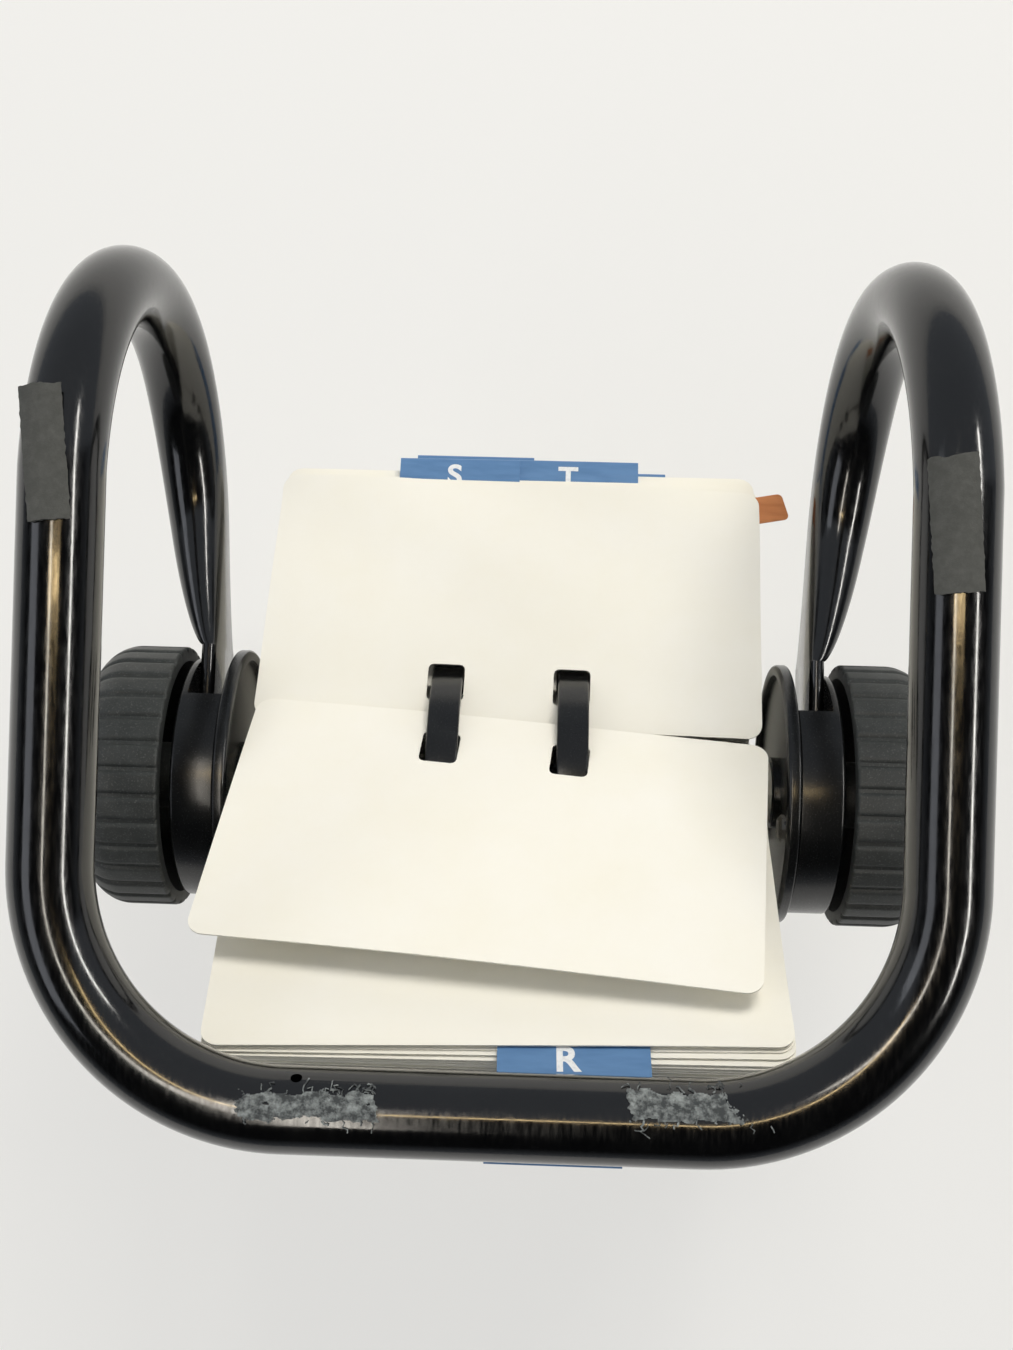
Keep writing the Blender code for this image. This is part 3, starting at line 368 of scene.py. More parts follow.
enamel = make_enamel()
black_plastic = make_black_plastic()
charcoal = make_charcoal()
card_stock = make_card_stock()
blue_tab = make_tab_plastic("blue_tab_plastic", "628AB8", "557DAB")
orange_tab = make_tab_plastic("orange_index_plastic", "CC8450", "BB7340")
rubber = make_rubber()
adhesive = make_adhesive()
steel = make_steel()
nylon = make_nylon()
white_print = make_print("white_print", "F4F6F8")

SLOTS = {
    "black_enamel": enamel,
    "black_plastic": black_plastic,
    "charcoal_plastic": charcoal,
    "bright_steel": steel,
    "nylon": nylon,
    "grey_rubber": rubber,
    "dried_adhesive": adhesive,
    "card_stock": card_stock,
    "blue_plastic": blue_tab,
    "orange_plastic": orange_tab,
}
for row in frame["record"]["subparts"]:
    data = nodes[row["node"]].data
    data.materials.clear()
    data.materials.append(SLOTS[row["material_slot"]])
print("materials:", len(SLOTS))

# %% [markdown]
# ## Building blocks
#
# Small functions that make meshes: a loft through rings, a turned profile, a warped card.

# %%
# Every new piece goes through add_piece, which names its body and its finish.


def add_piece(name, shape, material, body, replaced=(), angle=35):
    """Makes an object from a bmesh, shades it, and hangs it on a body of the frame."""
    bmesh.ops.recalc_face_normals(shape, faces=shape.faces)
    mesh = bpy.data.meshes.new(name)
    shape.to_mesh(mesh)
    shape.free()
    mesh.shade_smooth()
    mesh.set_sharp_from_angle(angle=math.radians(angle))
    piece = bpy.data.objects.new(name, mesh)
    bpy.context.scene.collection.objects.link(piece)
    mesh.materials.append(material)
    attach(piece, body)
    if replaced:
        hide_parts(*replaced)
    return piece


def polar(radius, degrees):
    turn = math.radians(degrees)
    return radius * math.cos(turn), radius * math.sin(turn)


def arc(centre, radius, start, end, steps):
    """Points of an arc between two angles in degrees."""
    points = []
    for step in range(steps + 1):
        across, along = polar(radius, start + (end - start) * step / steps)
        points.append((centre[0] + across, centre[1] + along))
    return points


def bridge(shape, rings):
    """Joins each ring of vertices to the next with a band of faces."""
    for ring, after in zip(rings, rings[1:]):
        for index in range(len(ring)):
            beside = (index + 1) % len(ring)
            shape.faces.new((ring[index], ring[beside], after[beside], after[index]))


def turned(profile, side, steps):
    """Turns a closed profile of (radius, out) about the wheel's axis."""
    shape = bmesh.new()
    rings = []
    for index in range(steps):
        turn = 360 * index / steps
        ring = []
        for radius, out in profile:
            back, up = polar(radius, turn)
            ring.append(shape.verts.new((side * out, HUB.y + back, HUB.z + up)))
        rings.append(ring)
    bridge(shape, rings + rings[:1])
    bmesh.ops.remove_doubles(shape, verts=shape.verts, dist=0.002 * MM)
    return shape


print("building blocks ready")

# %% [markdown]
# ## The stand
#
# One tube runs along cross-bar, corner, leg, bend and arm. Towards the axle it is pressed to
# a thin blade, and its girth stays the same, so that it widens as it thins.

# %%
# The same path as the model, with many more sections and sides.
TUBE_SIDES = 48
CORNER_STEPS = 40
BEND_STEPS = 72
ARM_STEPS = 30
TIP_STEPS = 12
TIP_SWEEP = 80


def section(centre, wide, thin, width, thickness):
    """One section of the tube: a circle, or two half circles drawn apart."""
    points = []
    half = TUBE_SIDES // 2
    for index in range(TUBE_SIDES):
        turn = math.pi * (index % half + 0.5) / half - math.pi / 2
        end = 1 if index < half else -1
        along = end * ((width - thickness) / 2 + thickness / 2 * math.cos(turn))
        across = end * thickness / 2 * math.sin(turn)
        points.append(centre + wide * along + thin * across)
    return points


def flat_width(thickness):
    return thickness + math.pi * (2 * TUBE_RADIUS - thickness) / 2


RISE = HUB.z - TUBE_CENTRE_HEIGHT - BEND_RADIUS
SLOPE = math.asin(BEND_RADIUS / math.hypot(BEND_AHEAD_OF_AXIS, RISE)) - math.atan2(
    RISE, BEND_AHEAD_OF_AXIS
)
ARM_LENGTH = math.sqrt(BEND_AHEAD_OF_AXIS**2 + RISE**2 - BEND_RADIUS**2)


def tube_sections():
    """Sections of the right half of the tube, from the middle plane to the blade's tip."""
    up = Vector((0, 0, 1))
    corner_y = HUB.y + CROSSBAR_BEHIND_AXIS - CORNER_RADIUS
    corner = Vector((LEG_OUT - CORNER_RADIUS, corner_y, TUBE_CENTRE_HEIGHT))
    start = Vector((0, corner_y + CORNER_RADIUS, TUBE_CENTRE_HEIGHT))
    full = 2 * TUBE_RADIUS
    sections = [section(start, up, Vector((0, 1, 0)), full, full)]
    for step in range(CORNER_STEPS + 1):
        turn = math.pi / 2 * step / CORNER_STEPS
        outward = Vector((math.sin(turn), math.cos(turn), 0))
        sections.append(section(corner + outward * CORNER_RADIUS, up, outward, full, full))

    bend_turn = math.pi + SLOPE
    bend_length = BEND_RADIUS * bend_turn
    flat_start = bend_length + ARM_LENGTH - BLADE_FLAT_LENGTH
    blade_inner = BLADE_OUT - BLADE_THICKNESS / 2
    bend_y = HUB.y - BEND_AHEAD_OF_AXIS
    bend_z = TUBE_CENTRE_HEIGHT + BEND_RADIUS
    leg_inner = LEG_OUT - TUBE_RADIUS

    def sideways(travelled):
        share = min(max((flat_start - travelled) / FLATTENING_LENGTH, 0), 1)
        fullness = math.sin(math.pi / 2 * share) ** FLATTENING_POWER
        thickness = BLADE_THICKNESS + (full - BLADE_THICKNESS) * fullness
        toe_in = (leg_inner - blade_inner) * min(travelled / flat_start, 1)
        return thickness, leg_inner - toe_in + thickness / 2

    outboard = Vector((1, 0, 0))
    for step in range(BEND_STEPS + 1):
        turn = bend_turn * step / BEND_STEPS
        away = Vector((0, -math.sin(turn), -math.cos(turn)))
        thickness, out = sideways(BEND_RADIUS * turn)
        centre = Vector((out, bend_y, bend_z)) + away * BEND_RADIUS
        sections.append(section(centre, -away, outboard, flat_width(thickness), thickness))

    along = Vector((0, math.cos(SLOPE), -math.sin(SLOPE)))
    above = Vector((0, math.sin(SLOPE), math.cos(SLOPE)))
    arm_start = Vector((0, bend_y, bend_z)) + above * BEND_RADIUS
    for step in range(1, ARM_STEPS + 1):
        ease = 1 - (1 - step / ARM_STEPS) ** 2
        travelled = (flat_start - bend_length) * ease
        thickness, out = sideways(bend_length + travelled)
        centre = arm_start + along * travelled + outboard * out
        sections.append(section(centre, -above, outboard, flat_width(thickness), thickness))

    width = flat_width(BLADE_THICKNESS)
    hub = Vector((BLADE_OUT, HUB.y, HUB.z))
    for step in range(TIP_STEPS + 1):
        turn = math.radians(TIP_SWEEP) * step / TIP_STEPS
        centre = hub + along * (width / 2 * math.sin(turn))
        tip = width * math.cos(turn)
        sections.append(section(centre, -above, outboard, tip, BLADE_THICKNESS))
    return sections


def make_stand():
    shape = bmesh.new()
    right = tube_sections()
    left = [[Vector((-p.x, p.y, p.z)) for p in points] for points in right]
    rings = []
    for points in reversed(left):
        rings.append([shape.verts.new(p) for p in points])
    for points in right[1:]:
        rings.append([shape.verts.new(p) for p in points])
    bridge(shape, rings)
    shape.faces.new(rings[0])
    shape.faces.new(rings[-1])
    return add_piece("stand_tube", shape, enamel, "frame", ["frame_tube"])


stand = make_stand()
print("stand:", len(stand.data.polygons), "faces")

# %% [markdown]
# ## Housings, rims and knobs
#
# Turned forms with rounded edges. Each housing is an inboard disc and an outboard cup with a
# slot for the blade of the tube. The knobs have broad flat ribs between narrow grooves.

# %%
# The flange: a lipped disc, dished on the side of the cards.


def make_flange(side, side_name):
    lip = 2.2 * MM
    dish = FLANGE_OUT + 1.2 * MM
    profile = [(7.3 * MM, FLANGE_OUT), (7.3 * MM, dish), (FLANGE_RADIUS - lip, dish)]
    profile += arc((FLANGE_RADIUS - lip + 0.4 * MM, FLANGE_OUT + 0.4 * MM), 0.4 * MM, 180, 270, 4)
    profile += arc((FLANGE_RADIUS - 0.9 * MM, FLANGE_OUT + 0.9 * MM), 0.9 * MM, -90, 0, 8)
    profile += arc((FLANGE_RADIUS - 0.5 * MM, FLANGE_BACK - 0.5 * MM), 0.5 * MM, 0, 90, 5)
    profile += [(3.3 * MM, FLANGE_BACK), (3.3 * MM, FLANGE_OUT)]
    add_piece(
        f"{side_name}_flange_disc", turned(profile, side, 144), black_plastic, "frame",
        [f"{side_name}_flange"],
    )


def cutter_box(name, low, high, turn):
    """A hidden block that a Boolean modifier subtracts; turn is about X, at the hub."""
    shape = bmesh.new()
    bmesh.ops.create_cube(shape, size=1)
    size = [b - a for a, b in zip(low, high)]
    middle = [(a + b) / 2 for a, b in zip(low, high)]
    bmesh.ops.transform(shape, matrix=Matrix.Diagonal((*size, 1)), verts=shape.verts)
    bmesh.ops.translate(shape, vec=middle, verts=shape.verts)
    bmesh.ops.rotate(shape, matrix=Matrix.Rotation(turn, 3, "X"), verts=shape.verts)
    bmesh.ops.translate(shape, vec=HUB, verts=shape.verts)
    mesh = bpy.data.meshes.new(name)
    shape.to_mesh(mesh)
    shape.free()
    return bpy.data.objects.new(name, mesh)


def cut(piece, cutters):
    """Subtracts the cutters from a piece for good, so that no modifier or cutter is left."""
    scene = bpy.context.scene.collection.objects
    for cutter in cutters:
        scene.link(cutter)
        boolean = piece.modifiers.new("cut", "BOOLEAN")
        boolean.operation = "DIFFERENCE"
        boolean.solver = "EXACT"
        boolean.object = cutter
    graph = bpy.context.evaluated_depsgraph_get()
    made = bpy.data.meshes.new_from_object(piece.evaluated_get(graph))
    piece.modifiers.clear()
    piece.data = made
    for cutter in cutters:
        bpy.data.objects.remove(cutter)
    made.shade_smooth()
    made.set_sharp_from_angle(angle=math.radians(30))


# %%
# The collar: a cup whose wall opens towards the arm, as deep as the blade of the tube needs.
COLLAR_WALL = 1.6 * MM


def make_collar(side, side_name):
    outer = COLLAR_RADIUS
    inner = outer - COLLAR_WALL
    floor = COLLAR_END - COLLAR_WALL
    profile = [(4.7 * MM, COLLAR_END)]
    profile += reversed(arc((outer - 0.8 * MM, COLLAR_END - 0.8 * MM), 0.8 * MM, 0, 90, 8))
    edge = 0.25 * MM
    profile += reversed(arc((outer - edge, COLLAR_OPEN_END + edge), edge, -90, 0, 4))
    profile += [(inner, COLLAR_OPEN_END), (inner, floor), (7.4 * MM, floor)]
    profile += [(7.4 * MM, COLLAR_OPEN_END), (4.7 * MM, COLLAR_OPEN_END)]
    collar = add_piece(
        f"{side_name}_collar_cup", turned(profile, side, 144), black_plastic, "frame",
        [f"{side_name}_collar"],
    )
    near, half = polar(COLLAR_RADIUS, 50)
    deep = BLADE_OUT + BLADE_THICKNESS / 2 + 0.3 * MM
    outs = sorted((side * (COLLAR_OPEN_END - 1 * MM), side * deep))
    slot = cutter_box(
        "slot", (outs[0], -COLLAR_RADIUS - 1 * MM, -half), (outs[1], -near, half), -SLOPE
    )
    cut(collar, [slot])


for side, side_name in ((-1, "left"), (1, "right")):
    make_flange(side, side_name)
    make_collar(side, side_name)
print("housings done")

# %%
# The rims: wheels of T section. Their bands stay in view between the two nearest cards.


def make_rim(side, side_name):
    middle = RIM_SPACING / 2
    half_band = 3.1 * MM
    under = RIM_RADIUS - 1.2 * MM
    edge = 0.5 * MM
    boss = 7.2 * MM
    profile = [(4.9 * MM, middle - 3.5 * MM), (boss, middle - 3.5 * MM), (boss, middle - 0.8 * MM)]
    profile += [(under, middle - 0.8 * MM), (under, middle - half_band)]
    profile += arc((RIM_RADIUS - edge, middle - half_band + edge), edge, -90, 0, 5)
    profile += arc((RIM_RADIUS - edge, middle + half_band - edge), edge, 0, 90, 5)
    profile += [(under, middle + half_band), (under, middle + 0.8 * MM)]
    tip = middle + 3.5 * MM
    profile += [(boss, middle + 0.8 * MM), (boss, tip), (4.9 * MM, tip)]
    rim = add_piece(
        f"{side_name}_rim_wheel", turned(profile, side, 144), black_plastic, "wheel",
        [f"{side_name}_card_rim"],
    )
    holes = []
    for index in range(6):
        back, up = polar(14.5 * MM, 60 * (index + 0.5))
        shape = bmesh.new()
        bmesh.ops.create_cone(
            shape, cap_ends=True, segments=32, radius1=4.5 * MM, radius2=4.5 * MM, depth=9 * MM
        )
        bmesh.ops.rotate(shape, matrix=Matrix.Rotation(math.pi / 2, 3, "Y"), verts=shape.verts)
        bmesh.ops.translate(shape, vec=HUB + Vector((side * middle, back, up)), verts=shape.verts)
        mesh = bpy.data.meshes.new("hole")
        shape.to_mesh(mesh)
        shape.free()
        holes.append(bpy.data.objects.new("hole", mesh))
    cut(rim, holes)


for side, side_name in ((-1, "left"), (1, "right")):
    make_rim(side, side_name)
print("rims done")

# %%
# A knob: a cup whose rim carries 32 ribs; the grooves run out over the rounded end.
GROOVES = 32
KNOB_STEPS = GROOVES * 14
KNOB_WALL = 2.8 * MM
KNOB_CROWN = 8.0 * MM


def groove_depth(turn):
    """How far the surface is cut in at this angle: a flat floor between two steep walls."""
    from_middle = abs((turn * GROOVES / 360) % 1 - 0.5) * 360 / GROOVES
    share = (1.75 - from_middle) / 0.75
    return 0.55 * MM * max(0.0, min(share, 1.0))


def make_knob(side, side_name):
    rim = 0.7 * MM
    inner = KNOB_RADIUS - KNOB_WALL
    floor = KNOB_END - 3.0 * MM
    bottom = 5.0 * MM
    crown_centre = (KNOB_RADIUS - KNOB_CROWN, KNOB_END - KNOB_CROWN)
    outside = list(reversed(arc(crown_centre, KNOB_CROWN, 0, 90, 28)))
    outside += list(reversed(arc((KNOB_RADIUS - rim, KNOB_HUB_OUT + rim), rim, -90, 0, 6)))
    inside = [(inner, KNOB_HUB_OUT)]
    inside += arc((inner - bottom, floor - bottom), bottom, 0, 90, 8)
    inside += [(6.8 * MM, floor), (6.8 * MM, KNOB_HUB_OUT), (3.3 * MM, KNOB_HUB_OUT)]
    inside += [(3.3 * MM, floor), (0.0, floor)]
    profile = [(0.0, KNOB_END - 0.5 * MM), (8 * MM, KNOB_END - 0.3 * MM)] + outside + inside
    last_outside = len(outside) + 2
    shape = bmesh.new()
    rings = []
    for step in range(KNOB_STEPS):
        turn = 360 * step / KNOB_STEPS
        ring = []
        for index, (radius, out) in enumerate(profile):
            if 2 <= index < last_outside:
                fade = min(max((radius - (KNOB_RADIUS - 5.5 * MM)) / (3 * MM), 0), 1)
                radius -= groove_depth(turn) * fade
            back, up = polar(radius, turn)
            ring.append(shape.verts.new((side * out, HUB.y + back, HUB.z + up)))
        rings.append(ring)
    bridge(shape, rings + rings[:1])
    bmesh.ops.remove_doubles(shape, verts=shape.verts, dist=0.002 * MM)
    add_piece(
        f"{side_name}_ribbed_knob", shape, charcoal, "wheel",
        [f"{side_name}_knob"], 40,
    )


for side, side_name in ((-1, "left"), (1, "right")):
    make_knob(side, side_name)
print("knobs done")

# %% [markdown]
# ## Cards
#
# Thin card stock, die cut with rounded corners and two T-shaped notches that hook on the
# rims. A sheet starts as a flat outline, is cut into a grid so that it can bend, gets a
# gentle warp, and only then its thickness. The wheel of a real file is packed with cards.

# %%
# The outline of a card, across it and along it from the rim outwards.
STOCK = 0.3 * MM
NECK = 1.5 * MM
WINDOW = 3.7 * MM
WINDOW_LOW = -3.2 * MM
WINDOW_HIGH = 3.8 * MM


def card_outline(corner_steps, fine, high=WINDOW_HIGH, low=-CARD_TONGUE):
    half = CARD_WIDTH / 2
    corner = 3.2 * MM
    points = arc((corner - half, corner + low), corner, 180, 270, corner_steps)
    for middle in (-RIM_SPACING / 2, RIM_SPACING / 2):
        if fine:
            r = 1.1 * MM
            points += [(middle - NECK, low), (middle - NECK, WINDOW_LOW)]
            points += arc((middle - WINDOW + r, WINDOW_LOW + r), r, 270, 180, 3)
            points += arc((middle - WINDOW + r, high - r), r, 180, 90, 3)
            points += arc((middle + WINDOW - r, high - r), r, 90, 0, 3)
            points += arc((middle + WINDOW - r, WINDOW_LOW + r), r, 0, -90, 3)
            points += [(middle + NECK, WINDOW_LOW), (middle + NECK, low)]
        else:
            points += [(middle - WINDOW, low), (middle - WINDOW, high)]
            points += [(middle + WINDOW, high), (middle + WINDOW, low)]
    points += arc((half - corner, corner + low), corner, 270, 360, corner_steps)
    points += arc((half - corner, CARD_REACH - corner), corner, 0, 90, corner_steps)
    points += arc((corner - half, CARD_REACH - corner), corner, 90, 180, corner_steps)
    return points


def card_place(anchor, direction, roll=0.0, slide=0.0, across=0.0):
    """Where a card lies: hung on the rims at an anchor angle, pointing in a direction."""
    back, up = polar(RIM_MIDDLE_RADIUS, anchor)
    return (
        Matrix.Translation(HUB + Vector((0, back, up)))
        @ Matrix.Rotation(math.radians(direction), 4, "X")
        @ Matrix.Rotation(math.radians(roll), 4, "Z")
        @ Matrix.Translation((across, -slide, 0))
    )


def thicken(sheet, thickness):
    """Gives an open sheet its thickness: a second side, and a band along every free edge."""
    sheet.normal_update()
    sides = {}
    for vertex in sheet.verts[:]:
        normal = vertex.normal * (thickness / 2)
        sides[vertex] = sheet.verts.new(vertex.co + normal)
        vertex.co -= normal
    rims = [edge for edge in sheet.edges if len(edge.link_faces) == 1]
    for face in sheet.faces[:]:
        sheet.faces.new([sides[vertex] for vertex in face.verts])
        face.normal_flip()
    for edge in rims:
        one, two = edge.verts
        sheet.faces.new((one, two, sides[two], sides[one]))
    bmesh.ops.recalc_face_normals(sheet, faces=sheet.faces)


def add_sheet(shape, outline, where, cells, warp=None, thickness=STOCK):
    """Adds one bent sheet to a bmesh: outline, grid, warp, thickness, place."""
    sheet = bmesh.new()
    flat = [Vector((x / MM, y / MM)) for x, y in outline]
    points, _, triangles, _, _, _ = geometry.delaunay_2d_cdt(
        flat, [], [list(range(len(flat)))], 1, 0.001
    )
    corners = [sheet.verts.new((point.x * MM, point.y * MM, 0)) for point in points]
    for triangle in triangles:
        sheet.faces.new([corners[index] for index in triangle])
    for axis, cuts in enumerate(cells):
        normal = [0, 0, 0]
        normal[axis] = 1
        for value in cuts:
            point = [0, 0, 0]
            point[axis] = value
            parts = sheet.verts[:] + sheet.edges[:] + sheet.faces[:]
            bmesh.ops.bisect_plane(sheet, geom=parts, plane_co=point, plane_no=normal)
    bmesh.ops.remove_doubles(sheet, verts=sheet.verts, dist=0.01 * MM)
    if warp:
        for vertex in sheet.verts:
            vertex.co = warp(*vertex.co.xy)
    thicken(sheet, thickness)
    bmesh.ops.transform(sheet, matrix=where, verts=sheet.verts)
    mesh = bpy.data.meshes.new("sheet")
    sheet.to_mesh(mesh)
    sheet.free()
    shape.from_mesh(mesh)
    bpy.data.meshes.remove(mesh)


def steps_between(low, high, size):
    """Even cuts between two values, about a size apart."""
    count = max(int((high - low) / size), 1)
    return [low + (high - low) * (index + 1) / (count + 1) for index in range(count)]


FINE_CELLS = (
    steps_between(-CARD_WIDTH / 2, CARD_WIDTH / 2, 3.2 * MM),
    steps_between(-CARD_TONGUE, CARD_REACH, 3.0 * MM),
)
print("card cells:", len(FINE_CELLS[0]), "x", len(FINE_CELLS[1]))

# %%
# The two free cards. The front one has taken a soft wave and is drawn to the rims round its
# windows; the loose one is nearly flat, with a slight lengthwise bow.


def front_warp(x, y):
    u = x / (CARD_WIDTH / 2)
    v = y / CARD_REACH
    wave = 0.5 * (1 + math.sin(5.2 * u + 8.4 * v + 3.2)) * max(v, 0) ** 1.2
    lift = -0.55 * u * u * max(v, 0)
    curl = 0.4 * max(0.0, u - 0.45) ** 2 * 3 * max(v, 0)
    beside = math.exp(-(((abs(x) - RIM_SPACING / 2) / (7 * MM)) ** 2))
    pulled = -0.35 * math.exp(-((y / (9 * MM)) ** 2)) * (1 - beside)
    return Vector((x, y, (wave + lift + curl + pulled) * MM))


def loose_warp(x, y):
    u = x / (CARD_WIDTH / 2)
    v = y / CARD_REACH
    bow = 0.7 * (u * u - 0.3) + 0.5 * v * v
    ripple = 0.2 * math.sin(2.6 * u - 1.1 * v)
    return Vector((x, y, (bow + ripple) * MM))


def second_warp(x, y):
    u = x / (CARD_WIDTH / 2)
    v = y / CARD_REACH
    return Vector((x, y, (0.5 * u * u * v + 0.25 * math.sin(2.0 * u + 2.5 * v)) * MM))


# Where each of the three lies: anchor, direction and roll in degrees, slide and shift across.
FRONT_PLACE = card_place(203, 154.4, -1.07, 1.84 * MM, -0.32 * MM)
LOOSE_PLACE = card_place(255, 315.4, 5.1, 2.17 * MM, -0.59 * MM)
SECOND_PLACE = card_place(-72, -49.2, -1.9, -1.8 * MM, -0.9 * MM)

for name, node, body, where, warp, high in (
    ("front_card_sheet", "front_card", "front_card", FRONT_PLACE, front_warp, 4.9 * MM),
    ("loose_card_sheet", "loose_card", "loose_card", LOOSE_PLACE, loose_warp, 4.5 * MM),
    ("second_card_sheet", "card_20", "wheel", SECOND_PLACE, second_warp, WINDOW_HIGH),
):
    shape = bmesh.new()
    add_sheet(shape, card_outline(8, True, high), where, FINE_CELLS, warp)
    add_piece(name, shape, card_stock, body, [node], 40)
print("free cards done")

# %%
# The pack: thin sheets between the cards of the model, each with its own small slip, roll
# and curl. The wheel is full, so they fan out from the split to the top.
COARSE_CELLS = (
    steps_between(-CARD_WIDTH / 2, CARD_WIDTH / 2, 13 * MM),
    steps_between(-CARD_TONGUE, CARD_REACH, 12 * MM),
)
FAN_MIDDLE = 47
FRONT_SPREAD = 113
BACK_SPREAD = 98


def card_direction(anchor):
    """The direction of a card in the fan, as in the model."""
    if anchor >= FAN_MIDDLE:
        return FAN_MIDDLE + FRONT_SPREAD * (1 - (1 - (anchor - FAN_MIDDLE) / 180) ** 3)
    return FAN_MIDDLE - BACK_SPREAD * (1 - (1 - (FAN_MIDDLE - anchor) / 180) ** 2.5)


def make_pack(name, anchors, seed, slip):
    """Adds many thin cards to one mesh that rides on the wheel."""
    jitter = random.Random(seed)
    shape = bmesh.new()
    outline = card_outline(4, False)
    for anchor in anchors:
        direction = card_direction(anchor)
        roll = jitter.uniform(-0.25, 0.25)
        slide = jitter.uniform(*slip) * MM
        across = jitter.uniform(-0.45, 0.45) * MM
        bend = jitter.uniform(-0.12, 0.12) * MM
        twist = jitter.uniform(-0.1, 0.1) * MM

        def warp(x, y, bend=bend, twist=twist):
            u = x / (CARD_WIDTH / 2)
            v = max(y, 0) / CARD_REACH
            return Vector((x, y, bend * v * v + twist * u * v))

        where = card_place(anchor, direction, roll, slide, across)
        add_sheet(shape, outline, where, COARSE_CELLS, warp, 0.22 * MM)
    add_piece(name, shape, card_stock, "wheel", [], 40)
    print(name, len(anchors), "cards")


FRONT_STEP = (180 - FAN_MIDDLE) / 12
BACK_STEP = 10.409
front_anchors = []
for index in range(12):
    low = FAN_MIDDLE + FRONT_STEP * index
    front_anchors += [low + FRONT_STEP * share / 7 for share in range(1, 7)]
back_anchors = []
for index in range(10):
    low = -67.5 + BACK_STEP * index
    back_anchors += [low + BACK_STEP * share / 7 for share in range(1, 7)]
# Next to the front card a sheet ends just past the rim, so that the card has room to flip.
SHORT_TONGUE = -0.2 * MM


def make_layers(name, places, seed, low=-CARD_TONGUE):
    """A few loose sheets close together, each at its own anchor, direction, roll and slide."""
    jitter = random.Random(seed)
    shape = bmesh.new()
    for anchor, direction, roll, slide in places:
        across = jitter.uniform(-0.3, 0.3) * MM
        where = card_place(anchor, direction, roll, slide * MM, across)
        outline = card_outline(6, low < WINDOW_LOW, 8 * MM, low)
        add_sheet(shape, outline, where, COARSE_CELLS, None, 0.25 * MM)
    add_piece(name, shape, card_stock, "wheel", [], 40)


make_layers(
    "back_layer_sheets",
    ((-70.8, -47.7, -1.3, -2.5), (-70.3, -47.2, -0.9, -3.1), (-69.7, -46.6, -0.6, -3.0),
     (-69.0, -45.9, -0.4, -2.7), (-68.3, -45.0, -0.2, -2.2)),
    21,
)
make_layers(
    "front_layer_sheets",
    ((191.0, 155.9, -0.5, 3.1), (184.0, 157.3, 0.1, 3.4)),
    22, SHORT_TONGUE,
)
make_pack("front_pack_sheets", front_anchors, 11, (1.0, 2.6))
make_pack("back_pack_sheets", back_anchors, 12, (-0.5, 1.5))

# %% [markdown]
# ## Tabs, letters and flag
#
# A guide card carries a blue plastic sleeve folded over a tongue, with a letter printed on
# it. The sleeve is two thin leaves joined by a round fold. The orange flag is a stuck slip.

# %%
# One guide: the card with its tongue, the sleeve round it, and the letter on the side shown.
SLEEVE_GAP = 0.45 * MM
SLEEVE_WALL = 0.3 * MM


def sleeve_profile(reach, low):
    """A folded leaf seen from its end: (along, height) down one side and up the other."""
    fold = SLEEVE_GAP
    points = [(low, -fold), (reach - fold, -fold)]
    points += arc((reach - fold, 0), fold, -90, 90, 8)[1:]
    points += [(low, fold)]
    return points


def make_sleeve(name, where, middle, half, reach, low, replaced):
    shape = bmesh.new()
    rows = []
    left, right = middle - half, middle + half
    for across in [left, *steps_between(left, right, 3 * MM), right]:
        leaf = sleeve_profile(reach, low)
        rows.append([shape.verts.new((across, along, height)) for along, height in leaf])
    for row, after in zip(rows, rows[1:]):
        for index in range(len(row) - 1):
            shape.faces.new((row[index], row[index + 1], after[index + 1], after[index]))
    thicken(shape, SLEEVE_WALL)
    bmesh.ops.transform(shape, matrix=where, verts=shape.verts)
    return add_piece(name, shape, blue_tab, "wheel", replaced, 35)


def make_letter(name, text, where, body, size, bold=0.06):
    """A printed letter: a very thin raised mesh made from the built-in font."""
    curve = bpy.data.curves.new(name, "FONT")
    curve.body = text
    curve.size = size
    curve.align_x = "CENTER"
    curve.align_y = "CENTER"
    curve.offset = bold * size / 2
    curve.extrude = 0.02 * MM
    curve.resolution_u = 8
    holder = bpy.data.objects.new(name, curve)
    mesh = bpy.data.meshes.new_from_object(holder)
    bpy.data.objects.remove(holder)
    mesh.transform(where)
    mesh.materials.clear()
    mesh.materials.append(white_print)
    letter = bpy.data.objects.new(name, mesh)
    bpy.context.scene.collection.objects.link(letter)
    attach(letter, body)
    return letter


